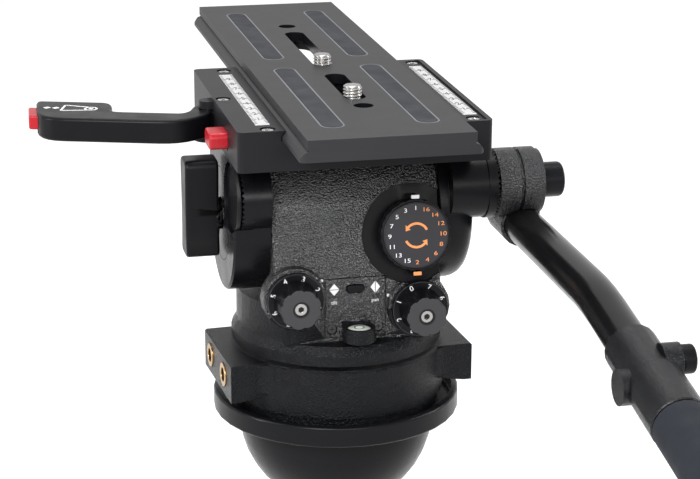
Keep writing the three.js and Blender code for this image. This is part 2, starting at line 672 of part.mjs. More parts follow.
function stripPocket(x) {
  const half = strip.width / 2 + gap / 2;
  return boxSolid(x - half, x + half, strip.near - gap / 2, strip.far + gap / 2,
    saddle.top + strip.proud - strip.thickness - gap, saddle.top + overrun);
}

function clampJaw() {
  const outer = plateCentre - plate.flangeHalf - jaw.width;
  const inner = plateCentre - plate.flangeHalf - gap;
  const bottom = saddle.floor + gap;
  const body = boxSolid(outer, inner, jaw.near, jaw.far, bottom, bottom + jaw.height - gap);
  return piece('clamp_jaw', body, steel);
}

function jawPocket() {
  const outer = plateCentre - plate.flangeHalf - jaw.width - jaw.travel - gap;
  const inner = plateCentre - plate.flangeHalf + slidingGap;
  return boxSolid(outer, inner, jaw.near - gap, jaw.far + gap, saddle.floor, saddle.floor + jaw.height + gap);
}

function saddlePiece() {
  const slab = roundBar(saddle.left, saddle.right, saddle.near, saddle.far, saddle.bottom, saddle.top,
    saddle.corner, 4);
  const rimCut = boxSolid(saddle.right - rim.width * 2, saddle.right - rim.width, saddle.near + rim.width,
    saddle.far - rim.width, saddle.top - rim.drop, saddle.top + overrun);
  const upperEar = turnedUp(rod(pivot.earRadius, lever.top + gap, pivot.earTop), smallSides, pivot.x,
    pivot.y);
  const upperLink = boxSolid(pivot.x, saddle.left + rim.width, pivot.y - pivot.earRadius,
    pivot.y + pivot.earRadius,
    lever.top + gap, pivot.earTop);
  const lowerEar = turnedUp(rod(pivot.lowerEar, pivot.lowerEarBottom, lever.bottom - gap), midSides,
    pivot.x, pivot.y);
  const lowerLink = boxSolid(pivot.x, saddle.left + rim.width, pivot.y - pivot.lowerEar,
    pivot.y + pivot.lowerEar,
    saddle.bottom, lever.bottom - gap);
  const besideArm = boxSolid(leftArm.outer - gap, leftArm.inner, pivot.y - pivot.lowerEar - gap,
    pivot.y + pivot.lowerEar + gap, pivot.lowerEarBottom - overrun, saddle.bottom);
  const body = joined(slab, upperEar, upperLink, cut(lowerEar, besideArm), lowerLink);
  const hubPocket = turnedUp(rod(pivot.hub + 2 * gap, lever.bottom - gap, lever.top + gap), midSides,
    pivot.x, pivot.y);
  const pinHole = turnedUp(rod(pivot.pin + gap, pivot.lowerEarBottom - overrun, pivot.earTop - gap * 4),
    smallSides,
    pivot.x, pivot.y);
  const safetyPocket = boxSolid(saddle.left - overrun, safety.inner + safety.travel + gap, safety.near - gap,
    safety.far + gap, safety.bottom - gap, safety.top + gap);
  const screwPockets = Object.values(railScrewPlaces).map(screwPocket);
  return piece('saddle', cut(body, dovetailChannel(), jawPocket(), rimCut, hubPocket, pinHole, safetyPocket,
    stripPocket(strip.leftX), stripPocket(strip.rightX), ...screwPockets), anodised);
}

function scaleStrip(name, x) {
  const top = saddle.top + strip.proud;
  const half = strip.width / 2;
  return piece(name, boxSolid(x - half, x + half, strip.near, strip.far, top - strip.thickness, top), white);
}

function railScrewPiece(name, [x, y]) {
  const top = saddle.top - railScrew.sink;
  const body = turnedUp(rod(railScrew.radius, top - railScrew.length, top), smallSides, x, y);
  const socket = turnedUp(rod(railScrew.socket, top - railScrew.socketDepth, top + overrun), 6, x, y);
  return piece(name, cut(body, socket), steel);
}

function rosetteRod(radius, from, to) {
  return turnedAcross(rod(radius, from, to), midSides, rosette.y, rosette.z);
}

function armWeb(from, to) {
  return boxSolid(from, to, web.near, web.far, web.bottom, saddle.bottom - gap);
}

function shaftHole() {
  const profile = rod(tiltShaft.radius + gap, leftArm.outer - overrun, rightArm.outer - rightArm.edge);
  return turnedAcross(profile, midSides, 0, tilt.height);
}

function leftArmPiece() {
  const profile = [[0, leftArm.outer], [leftArm.radius - leftArm.edge, leftArm.outer],
    [leftArm.radius, leftArm.outer + leftArm.edge], [leftArm.radius, leftArm.inner], [0, leftArm.inner]];
  const drum = turnedAcross(profile, bigSides, 0, tilt.height);
  const ceiling = boxSolid(leftArm.outer, leftArm.inner, -leftArm.radius, leftArm.radius,
    web.bottom - leftArm.radius * 2,
    saddle.bottom - gap);
  const clear = rosetteRod(rosette.radius + gap, leftArm.outer - overrun, leftRosette.lugEnd);
  const lug = rosetteRod(rosette.radius, leftRosette.lugEnd - gap, leftArm.inner);
  const bossLength = leftRosette.lugEnd - leftRosette.bossEnd;
  const teeth = toothedDisc(rosette.radius, 0, bossLength, rosette.teeth, rosette.toothDepth, 0);
  const boss = solid(teeth.rotateY(Math.PI).translate(leftRosette.lugEnd, rosette.y, rosette.z));
  const discSeat = turnedAcross(rod(disc.radius + gap, leftArm.outer - overrun,
    leftArm.outer + disc.thickness + gap), midSides,
    0, tilt.height);
  const body = joined(cut(joined(drum.intersect(ceiling), armWeb(leftArm.outer, leftArm.inner)), clear),
    lug, boss);
  return piece('left_arm', cut(body, shaftHole(), discSeat), satin);
}

function rightArmPiece() {
  const profile = [[0, rightArm.inner], [rightArm.radius, rightArm.inner]];
  const steps = 5;
  for (let i = 0; i <= steps; i += 1) {
    const angle = Math.PI / 2 * i / steps;
    profile.push([rightArm.radius - rightArm.edge * (1 - Math.cos(angle)),
      rightArm.outer - rightArm.edge * (1 - Math.sin(angle))]);
  }
  profile.push([0, rightArm.outer]);
  const drum = turnedAcross(profile, bigSides, 0, tilt.height);
  const ceiling = boxSolid(rightArm.inner, rightArm.outer, -rightArm.radius, rightArm.radius,
    web.bottom - rightArm.radius * 2, saddle.bottom - gap);
  const spigot = rosetteRod(rightRosette.spigotRadius, web.rightInner, rightRosette.spigotEnd);
  const bossLength = rightRosette.bossEnd - rightRosette.spigotEnd;
  const teeth = toothedDisc(rosette.radius, 0, bossLength, rosette.teeth, rosette.toothDepth, 0);
  const boss = solid(teeth.translate(rightRosette.spigotEnd - gap, rosette.y, rosette.z));
  const studEnd = rightRosette.bossEnd - clampKnob.studLength;
  const studSeat = rosetteRod(clampKnob.studRadius + gap, studEnd, rightRosette.bossEnd + overrun);
  const body = joined(drum.intersect(ceiling), armWeb(web.rightInner, rightArm.outer - rightArm.edge),
    spigot, boss);
  return piece('right_arm', cut(body, shaftHole(), studSeat), satin);
}

function leftRosetteCap() {
  const inner = leftRosette.bossEnd - rosette.toothDepth / 2 - gap;
  const profile = [[0, leftRosette.capEnd], [rosette.radius - rosette.toothDepth, leftRosette.capEnd],
    [rosette.radius, leftRosette.capEnd + rosette.toothDepth], [rosette.radius, inner], [0, inner]];
  const shape = turnedAcross(profile, midSides, rosette.y, rosette.z);
  return piece('left_rosette_cap', shape, satin);
}

function discCover() {
  const body = turnedAcross(rod(disc.radius, leftArm.outer, leftArm.outer + disc.thickness), midSides, 0,
    tilt.height);
  const clear = rosetteRod(rosette.radius + 2 * gap, leftArm.outer - overrun, leftArm.outer + overrun);
  return piece('left_disc_cover', cut(body, clear, shaftHole()), satin);
}

function tiltShaftPiece() {
  const from = leftArm.outer + disc.thickness;
  const to = rightArm.outer - rightArm.edge - gap;
  return piece('tilt_shaft', turnedAcross(rod(tiltShaft.radius, from, to), midSides, 0, tilt.height), steel);
}

function wingOutline() {
  const low = tilt.height - wing.down;
  const high = tilt.height + wing.up;
  const shape = new THREE.Shape();
  const corner = wing.endHalf / 2;
  shape.moveTo(-wing.endHalf, low + corner);
  shape.quadraticCurveTo(-wing.endHalf, low, -wing.endHalf + corner, low);
  shape.lineTo(wing.endHalf - corner, low);
  shape.quadraticCurveTo(wing.endHalf, low, wing.endHalf, low + corner);
  shape.quadraticCurveTo(wing.waistHalf, tilt.height - corner, wing.endHalf, high - corner);
  shape.quadraticCurveTo(wing.endHalf, high, wing.endHalf - corner, high);
  shape.lineTo(-wing.endHalf + corner, high);
  shape.quadraticCurveTo(-wing.endHalf, high, -wing.endHalf, high - corner);
  shape.quadraticCurveTo(-wing.waistHalf, tilt.height - corner, -wing.endHalf, low + corner);
  return shape;
}

function tiltLockLever() {
  const blade = prismAcross(wingOutline(), wing.outer, wing.inner, 8);
  const hub = turnedAcross(rod(wing.hubRadius, wing.inner - gap, leftArm.outer - gap), midSides, 0,
    tilt.height);
  return piece('tilt_lock_lever', joined(blade, hub), moulded);
}

// Places on the lever: reach counts outwards from the pivot, side counts towards the far end
function leverPlace(reach, side) {
  const turn = THREE.MathUtils.degToRad(180 - lever.angle);
  return [pivot.x + reach * Math.cos(turn) + side * Math.sin(turn),
    pivot.y + reach * Math.sin(turn) - side * Math.cos(turn)];
}

// The lever's end face leans inwards from its far corner to its near corner
function leverEnd(side) {
  return lever.reach - (paddle.far - side) * Math.tan(THREE.MathUtils.degToRad(lever.endSlant));
}

function leverOutline() {
  const shape = new THREE.Shape();
  const go = (reach, side) => shape.lineTo(...leverPlace(reach, side));
  const bend = (reach, side, endReach, endSide) => shape.quadraticCurveTo(...leverPlace(reach, side),
    ...leverPlace(endReach, endSide));
  const hub = pivot.hub;
  shape.moveTo(...leverPlace(0, hub));
  bend(hub, hub, hub, 0);
  bend(hub, -lever.armFar, lever.rootReach, -lever.armFar);
  go(lever.stepStart, -lever.armFar);
  bend((lever.stepStart + lever.stepEnd) / 2, -lever.armFar, (lever.stepStart + lever.stepEnd) / 2,
    -paddle.farCorner);
  bend((lever.stepStart + lever.stepEnd) / 2, paddle.far, lever.stepEnd, paddle.far);
  const farTurn = paddle.far - paddle.farCorner;
  const nearTurn = paddle.nearCorner - paddle.near;
  go(leverEnd(paddle.far) - paddle.farCorner, paddle.far);
  bend(leverEnd(paddle.far), paddle.far, leverEnd(farTurn), farTurn);
  go(leverEnd(nearTurn), nearTurn);
  bend(leverEnd(-paddle.near), -paddle.near, leverEnd(-paddle.near) - paddle.nearCorner, -paddle.near);
  go(lever.stepEnd, -paddle.near);
  bend((lever.stepEnd + lever.waistReach) / 2, -lever.armNear, lever.waistReach, -lever.armNear);
  bend(lever.rootReach / 2, -lever.armNear, 0, -lever.rootNear);
  bend(-hub / 2, -hub, -hub / 2, 0);
  return shape;
}

function platformLockLever() {
  const blade = prismUp(leverOutline(), lever.bottom, lever.top, 5);
  const hub = turnedUp(rod(pivot.hub, lever.bottom, lever.top), midSides, pivot.x, pivot.y);
  const hole = turnedUp(rod(pivot.pin + gap, lever.bottom - overrun, lever.top + overrun), smallSides,
    pivot.x, pivot.y);
  return piece('platform_lock_lever', cut(joined(blade, hub), hole, tipPocket()), moulded);
}

// A slanted box in the lever's tip, its ends counted outwards from the lever's end face
function tipBox(margin, from, to) {
  const low = tipButton.aside - tipButton.width / 2 - margin;
  const high = tipButton.aside + tipButton.width / 2 + margin;
  const middle = (lever.bottom + lever.top) / 2;
  const raise = tipButton.height / 2 + margin;
  const corners = [[from, low], [to, low], [to, high], [from, high]];
  const shape = outline(corners.map(([out, side]) => leverPlace(leverEnd(side) + out, side)));
  return prismUp(shape, middle - raise, middle + raise);
}

function tipPocket() {
  return tipBox(gap, tipButton.proud - tipButton.depth - tipButton.travel - gap, overrun);
}

function tipButtonPiece() {
  return piece('lever_tip_button', tipBox(0, tipButton.proud - tipButton.depth, tipButton.proud), red);
}

function pivotPin() {
  const from = pivot.lowerEarBottom;
  const to = pivot.earTop - gap * 5;
  return piece('lever_pivot_pin', turnedUp(rod(pivot.pin, from, to), smallSides, pivot.x, pivot.y), steel);
}

function safetyButton() {
  const shape = roundedOutline(safety.near, safety.far, safety.bottom, safety.top, safety.corner);
  return piece('safety_button', prismAcross(shape, safety.outer, safety.inner, 4), red);
}

// Camera plate
function plateBlank() {
  const c = plateCentre;
  const right = [[plate.flangeHalf, plate.bottom], [plate.flangeHalf, plate.flangeTop], [plate.slopeHalf,
    plate.slopeTop],
    [plate.notchHalf, plate.notchTop], [plate.halfWidth, plate.notchTop + gap * 2], [plate.halfWidth,
    plate.top]];
  const left = right.map(([u, v]) => [-u, v]).reverse();
  const shape = outline([...right, ...left].map(([u, v]) => [c + u, v]));
  return prismForward(shape, plate.near, plate.far);
}

function slotCut([near, far]) {
  const c = plateCentre;
  const half = slot.width / 2;
  const low = slot.counterWidth / 2;
  const through = roundBar(c - half, c + half, near, far, plate.bottom - overrun, plate.top + overrun,
    half * roundShare, 4);
  const under = roundBar(c - low, c + low, near - low + half, far + low - half, plate.bottom - overrun,
    plate.bottom + slot.counterDepth, low * roundShare, 4);
  return joined(through, under);
}

function padRecess(side, [near, far]) {
  const x = plateCentre + side * pad.offset;
  const half = pad.width / 2 + gap;
  return roundBar(x - half, x + half, near - gap, far + gap, plate.top - pad.recess, plate.top + overrun,
    half * roundShare, 3);
}

function cameraPlate() {
  const holes = [plateHole.near, plateHole.far].map((y) => turnedUp(
    rod(plateHole.radius, plate.bottom - overrun, plate.top + overrun), midSides, plateCentre, y));
  const corners = plateBlank().intersect(roundBar(plateCentre - plate.flangeHalf - gap,
    plateCentre + plate.flangeHalf + gap,
    plate.near, plate.far, plate.bottom - overrun, plate.top + overrun, plate.corner, 3));
  const recesses = padPlaces.map(({ side, ends }) => padRecess(side, ends));
  return piece('camera_plate', cut(corners, slotCut(slot.near), slotCut(slot.far), ...holes, ...recesses),
    anodised);
}

function rubberPad(name, side, [near, far]) {
  const x = plateCentre + side * pad.offset;
  const half = pad.width / 2;
  const floor = plate.top - pad.recess;
  return piece(name, roundBar(x - half, x + half, near, far, floor, plate.top + pad.proud,
    half * roundShare, 3), rubber);
}

function cameraScrewPiece(name, y) {
  const bottom = plate.bottom + slot.counterDepth - gap - cameraScrew.headHeight;
  const shoulder = bottom + cameraScrew.headHeight;
  const tip = plate.top + cameraScrew.rise;
  const profile = [[0, bottom], [cameraScrew.headRadius, bottom], [cameraScrew.headRadius, shoulder],
    [cameraScrew.radius, shoulder], [cameraScrew.radius, tip - gap * 2], [cameraScrew.radius - gap * 2,
    tip], [0, tip]];
  return piece(name, turnedUp(profile, midSides, plateCentre, y), steel);
}

// Pan handle
function tubePath() {
  const angle = THREE.MathUtils.degToRad(tube.bendAngle);
  const height = rosette.z - tube.drop;
  const start = new THREE.Vector3(tube.x, tube.start, height);
  const bendFrom = new THREE.Vector3(tube.x, tube.straightEnd, height);
  const half = tube.bendRadius * Math.tan(angle / 2);
  const corner = new THREE.Vector3(tube.x, tube.straightEnd - half, height);
  const direction = new THREE.Vector3(0, -Math.cos(angle), -Math.sin(angle));
  const bendTo = corner.clone().addScaledVector(direction, half);
  const at = (y) => bendTo.clone().addScaledVector(direction, (y - bendTo.y) / direction.y);
  return { start, bendFrom, corner, bendTo, direction, at };
}

function handleTube() {
  const path = tubePath();
  const route = new THREE.CurvePath();
  route.add(new THREE.LineCurve3(path.start, path.bendFrom));
  route.add(new THREE.QuadraticBezierCurve3(path.bendFrom, path.corner, path.bendTo));
  route.add(new THREE.LineCurve3(path.bendTo, path.at(tube.end)));
  const circle = new THREE.Shape();
  circle.absarc(0, 0, tube.radius, 0, 2 * Math.PI);
  const end = stationOf(tube.end);
  const bore = onSlope(rod(tube.bore, end - tube.boreLength, end + overrun), midSides);
  const options = { steps: 20, curveSegments: 14, extrudePath: route, bevelEnabled: false };
  const geometry = new THREE.ExtrudeGeometry(circle, options);
  return piece('handle_tube', cut(solid(geometry), bore), satin);
}

// Turned pieces on the sloping part of the tube: stations count along -Y from the bend's end
function onSlope(profile, sides) {
  const path = tubePath();
  const turn = new THREE.Quaternion().setFromUnitVectors(new THREE.Vector3(0, 1, 0), path.direction);
  const geometry = turned(profile, sides).applyQuaternion(turn).translate(...path.bendTo.toArray());
  return solid(geometry);
}

function stationOf(y) {
  const path = tubePath();
  return (y - path.bendTo.y) / path.direction.y;
}

function handleClamp() {
  const inner = rightRosette.bossEnd + rosette.toothDepth / 2;
  const r = rosette.radius;
  const g = clamp.grooveDepth;
  const profile = [[0, inner], [r, inner], [r, clamp.bandEnd], [r - g, clamp.bandEnd], [r - g,
    clamp.secondBand],
    [r, clamp.secondBand], [r, clamp.outer], [clamp.rimRadius, clamp.outer + gap], [clamp.rimRadius,
    clamp.rimEnd],
    [0, clamp.rimEnd]];
  const body = turnedAcross(profile, bigSides, rosette.y, rosette.z);
  const height = rosette.z - tube.drop;
  const low = turnedForward(rod(socketBlock.radius, socketBlock.near, socketBlock.far), midSides, tube.x,
    height);
  const link = boxSolid(tube.x - socketBlock.halfWidth, tube.x + socketBlock.halfWidth,
    socketBlock.near + r / 2,
    socketBlock.far - r / 8, height, rosette.z);
  const boreFrom = rosette.y - r - overrun;
  const bore = turnedForward(rod(tube.radius + gap, boreFrom, tube.start + gap), midSides, tube.x, height);
  const outside = boxSolid(inner, clamp.rimEnd, socketBlock.near, r, rosette.z - 2 * tube.drop,
    rosette.z + r);
  const studBore = rosetteRod(clampKnob.studRadius + gap, inner - overrun, clamp.rimEnd + overrun);
  return piece('handle_clamp', cut(joined(body, low.intersect(outside), link), bore, studBore), crinkle);
}

function clampKnobPiece() {
  const c = clampKnob.chamfer;
  const from = clamp.rimEnd + gap;
  const head = turnedAcross(chamferedRod(clampKnob.radius, from, clampKnob.end, 0, c), midSides, rosette.y,
    rosette.z);
  const stem = rosetteRod(clampKnob.studRadius, rightRosette.bossEnd - clampKnob.studLength + gap,
    from + gap);
  return piece('clamp_knob', joined(head, stem), moulded);
}

function collarPiece() {
  const bore = tube.radius + collar.wall;
  const from = stationOf(collar.start);
  const split = stationOf(collar.split);
  const to = stationOf(collar.end);
  const edge = gap * 2;
  const floor = collar.radius - collar.groove;
  const profile = [[bore, from], [collar.radius - edge, from], [collar.radius, from + edge], [collar.radius,
    split],
    [floor, split], [floor, split + collar.groove], [collar.lowerRadius, split + collar.groove],
    [collar.lowerRadius, to - edge], [collar.lowerRadius - edge, to], [bore, to]];
  const boss = collarRod(collarScrew.radius + collarScrew.rim, tube.radius / 2, collarScrew.bossEnd);
  const lugCentre = tubePath().at(collarLug.y);
  const lug = turnedAcross(rod(collarLug.radius, tube.x - collarLug.reach, tube.x - tube.radius / 2),
    midSides,
    lugCentre.y, lugCentre.z - collarLug.drop);
  const inside = onSlope(rod(bore, from - overrun, to + overrun), midSides);
  const hole = collarRod(collarScrew.pin + gap, 0, collarScrew.reach);
  const body = joined(onSlope(profile, midSides), cut(joined(boss, lug), inside));
  return piece('handle_collar', cut(body, hole), moulded);
}

// A rod across the handle on the collar screw's axis, its ends counted from the tube's axis
function collarRod(radius, from, to) {
  const centre = tubePath().at(collarScrew.y);
  return turnedAcross(rod(radius, tube.x + from, tube.x + to), midSides, centre.y,
    centre.z + collarScrew.rise);
}

function collarScrewPiece() {
  const from = collarScrew.bossEnd + gap;
  const head = collarRod(collarScrew.radius, from, collarScrew.reach);
  const pin = collarRod(collarScrew.pin, tube.radius + collar.wall, from + gap);
  return piece('collar_screw', joined(head, pin), moulded);
}

function gripPiece() {
  const from = stationOf(collar.end) + slidingGap;
  const to = stationOf(grip.end);
  const cap = to - grip.capLength;
  const r = grip.radius;
  const d = grip.ribDepth;
  const outer = [[0, from], [r - d, from], [r, from + d], [r, cap - d], [r - d, cap], [r - d, cap + d], [r,
    cap + 2 * d],
    [r, to - 2 * d], [r - 2 * d, to], [0, to]];
  const inner = rod(tube.bore - slidingGap, stationOf(tube.end) - tube.boreLength + slidingGap, from + d);
  return piece('handle_grip', joined(onSlope(outer, midSides), onSlope(inner, midSides)), rubber);
}

const model = new THREE.Group();
const turnedBase = new THREE.Group();
turnedBase.rotation.z = THREE.MathUtils.degToRad(base.panAngle);
turnedBase.add(panBase(), ...insertPlaces.map(({ name, side, y }) => brassInsert(name, side, y)));
model.add(turnedBase);
const everything = [
  mountingRing(), halfBall(), tieDownStud(), panShaftPiece(),
  tieDownKnob(), bodyCasting(), levelPanel(), panelScrewPiece('left_panel_screw', panelScrew.left),
  panelScrewPiece('right_panel_screw', panelScrew.right), levelCup(), levelVial(), tiltDragCartridge(),
  counterbalanceCartridge(), panDragCartridge(), lightButtonPiece(), counterbalanceDial(),
  dialDisc('tilt_drag_dial', tiltDial), dialKnob('tilt_drag_knob', tiltDial), dialScrew('tilt_knob_screw',
  tiltDial),
  dialDisc('pan_drag_dial', panDial), dialKnob('pan_drag_knob', panDial), dialScrew('pan_knob_screw',
  panDial),
  panLockLever(), saddlePiece(), scaleStrip('left_scale_strip', strip.leftX),
  scaleStrip('right_scale_strip', strip.rightX),
  clampJaw(), leftArmPiece(), rightArmPiece(), leftRosetteCap(), discCover(), tiltShaftPiece(),
  tiltLockLever(),
  platformLockLever(), pivotPin(), tipButtonPiece(), safetyButton(), cameraPlate(),
  ...padPlaces.map(({ name, side, ends }) => rubberPad(name, side, ends)),
  cameraScrewPiece('near_camera_screw', cameraScrew.nearY),
  cameraScrewPiece('far_camera_screw', cameraScrew.farY), handleClamp(), clampKnobPiece(), handleTube(),
  collarPiece(),
  collarScrewPiece(), gripPiece()];
model.add(...everything);
for (const [name, place] of Object.entries(railScrewPlaces)) {
  model.add(railScrewPiece(`rail_screw_${name}`, place));
}
export default model;
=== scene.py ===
import json
import math

import bmesh
import bpy
from mathutils import Matrix, Vector


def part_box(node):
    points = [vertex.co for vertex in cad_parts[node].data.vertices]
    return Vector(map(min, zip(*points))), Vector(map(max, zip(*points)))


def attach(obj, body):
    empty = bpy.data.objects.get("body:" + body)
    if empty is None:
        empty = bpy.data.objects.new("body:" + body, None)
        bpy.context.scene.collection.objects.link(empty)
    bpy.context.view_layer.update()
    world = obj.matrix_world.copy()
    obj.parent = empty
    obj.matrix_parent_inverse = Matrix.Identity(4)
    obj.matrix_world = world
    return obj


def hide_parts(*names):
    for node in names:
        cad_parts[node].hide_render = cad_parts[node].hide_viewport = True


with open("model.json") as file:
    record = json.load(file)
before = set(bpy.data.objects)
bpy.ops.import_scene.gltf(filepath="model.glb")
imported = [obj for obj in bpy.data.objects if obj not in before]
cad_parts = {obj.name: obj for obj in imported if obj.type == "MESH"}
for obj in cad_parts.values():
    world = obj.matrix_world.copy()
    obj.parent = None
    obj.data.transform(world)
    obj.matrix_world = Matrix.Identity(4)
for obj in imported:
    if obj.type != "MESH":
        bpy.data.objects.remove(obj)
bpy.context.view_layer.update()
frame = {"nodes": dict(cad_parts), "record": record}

# Video fluid head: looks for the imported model. Metres in the frame, sizes below in millimetres.
MM = 0.001
IMAGE_SIZE = (700, 479)
BODIES = frame["record"]["behaviour"]["bodies"]
NODE_BODY = {node: body for body, nodes in BODIES.items() for node in nodes}

# Camera as it stood for the photograph
CAMERA_PLACE = (-216.6, -991.4, 405.0)
CAMERA_YAW, CAMERA_PITCH, CAMERA_ROLL = 13.0, 17.6, 0.3
FOCAL_PIXELS = 2101.7
SIGHT_POINT = (359.6, 248.3)
SENSOR_WIDTH = 36.0

# Floor, fill light and lamps
WHITE = (1, 1, 1, 1)
FLOOR = {"height": -160.0, "half": 6000.0, "grey": 0.4, "roughness": 0.9, "glow": 0.94}
FILL = {"colour": (0.92, 0.95, 1.0, 1), "strength": 0.12}
LAMP_TARGET = (0, 0, 100)
LAMPS = {  # place, size and power of each
    "key": ((-560, -1120, 790), (420, 420), 21.0),
    "front": ((120, -1500, 520), (520, 300), 6.0),
    "top": ((60, 200, 1300), (700, 500), 9.0),
    "left": ((-1200, -100, 450), (220, 800), 9.0),
    "right": ((1150, -100, 500), (220, 800), 7.0),
}


def millimetres(*values):
    return Vector(values) * MM


def aimed(eye, target, roll=0.0):
    """A matrix at eye that looks at target."""
    back = (Vector(eye) - Vector(target)).normalized()
    right = Vector((0, 0, 1)).cross(back).normalized()
    up = back.cross(right)
    turn = Matrix((right, up, back)).transposed().to_4x4()
    return Matrix.Translation(eye) @ turn @ Matrix.Rotation(roll, 4, "Z")


def make_camera():
    yaw, pitch = math.radians(CAMERA_YAW), math.radians(CAMERA_PITCH)
    ahead = Vector((math.sin(yaw) * math.cos(pitch), math.cos(yaw) * math.cos(pitch), -math.sin(pitch)))
    eye = millimetres(*CAMERA_PLACE)
    data = bpy.data.cameras.new("camera")
    data.sensor_width = SENSOR_WIDTH
    data.lens = FOCAL_PIXELS * SENSOR_WIDTH / IMAGE_SIZE[0]
    data.shift_x = (IMAGE_SIZE[0] / 2 - SIGHT_POINT[0]) / IMAGE_SIZE[0]
    data.shift_y = (SIGHT_POINT[1] - IMAGE_SIZE[1] / 2) / IMAGE_SIZE[0]
    camera = bpy.data.objects.new("camera", data)
    bpy.context.scene.collection.objects.link(camera)
    camera.matrix_world = aimed(eye, eye + ahead, math.radians(CAMERA_ROLL))
    bpy.context.scene.camera = camera


def area_lamp(name, place, size, power):
    data = bpy.data.lights.new(name, "AREA")
    data.shape = "RECTANGLE"
    data.size, data.size_y = size[0] * MM, size[1] * MM
    data.energy = power
    lamp = bpy.data.objects.new(name, data)
    bpy.context.scene.collection.objects.link(lamp)
    lamp.matrix_world = aimed(millimetres(*place), millimetres(*LAMP_TARGET))


def seen_directly(tree):
    """1 where the background meets the camera, a mirror or glass, 0 where it only lights."""
    path = tree.nodes.new("ShaderNodeLightPath")
    first = tree.nodes.new("ShaderNodeMath")
    first.operation = "MAXIMUM"
    tree.links.new(path.outputs["Is Camera Ray"], first.inputs[0])
    tree.links.new(path.outputs["Is Glossy Ray"], first.inputs[1])
    second = tree.nodes.new("ShaderNodeMath")
    second.operation = "MAXIMUM"
    tree.links.new(first.outputs[0], second.inputs[0])
    tree.links.new(path.outputs["Is Transmission Ray"], second.inputs[1])
    return second.outputs[0]


def make_world():
    world = bpy.data.worlds.new("studio")
    bpy.context.scene.world = world
    world.use_nodes = True
    tree = world.node_tree
    lit = tree.nodes["Background"]
    lit.inputs["Color"].default_value = FILL["colour"]
    lit.inputs["Strength"].default_value = FILL["strength"]
    seen = tree.nodes.new("ShaderNodeBackground")
    seen.inputs["Color"].default_value = WHITE
    mix = tree.nodes.new("ShaderNodeMixShader")
    tree.links.new(seen_directly(tree), mix.inputs[0])
    tree.links.new(lit.outputs[0], mix.inputs[1])
    tree.links.new(seen.outputs[0], mix.inputs[2])
    tree.links.new(mix.outputs[0], tree.nodes["World Output"].inputs["Surface"])


def make_floor():
    """A pale floor that keeps the shadow: a plain glow lifts what is seen of it to near white."""
    mesh = bpy.data.meshes.new("floor")
    half, height = FLOOR["half"] * MM, FLOOR["height"] * MM
    corners = [(-half, -half, height), (half, -half, height),
               (half, half, height), (-half, half, height)]
    mesh.from_pydata(corners, [], [(0, 1, 2, 3)])
    floor = bpy.data.objects.new("floor", mesh)
    bpy.context.scene.collection.objects.link(floor)
    material, tree, surface = shader("floor", (FLOOR["grey"],) * 3, FLOOR["roughness"], 0.0, 0.0)
    glow = tree.nodes.new("ShaderNodeMath")
    glow.operation = "MULTIPLY"
    glow.inputs[1].default_value = FLOOR["glow"]
    tree.links.new(seen_directly(tree), glow.inputs[0])
    surface.inputs["Emission Color"].default_value = WHITE
    tree.links.new(glow.outputs[0], surface.inputs["Emission Strength"])
    mesh.materials.append(material)


# Materials: scales are per metre, depths in millimetres
CRINKLE = {"colour": (0.004, 0.0044, 0.0056), "roughness": 0.26, "wrinkle": 1250.0, "detail": 1.2,
           "distortion": 0.4, "valley": 0.32, "crest": 0.68, "spread": 0.25, "patch": 60.0}
GRAIN = {"detail": 3.0, "strength": 0.5, "patch": 45.0, "patch_detail": 3.0,
         "gloss": 90.0, "gloss_detail": 4.0}
VIAL = {"colour": (0.7, 0.76, 0.66), "roughness": 0.08, "coat_roughness": 0.03,
        "spread": 0.05, "patch": 200.0}
CRINKLES = {  # name, depth, specular level and, if not the usual one, the wrinkles' scale
    "crinkle": ("crinkle paint", 0.5, 0.95),
    "calm crinkle": ("calm crinkle paint", 0.24, 0.13),
    "clamp crinkle": ("clamp crinkle", 0.36, 0.42),
    "collar grain": ("collar grain", 0.12, 0.25, 1500.0),
}
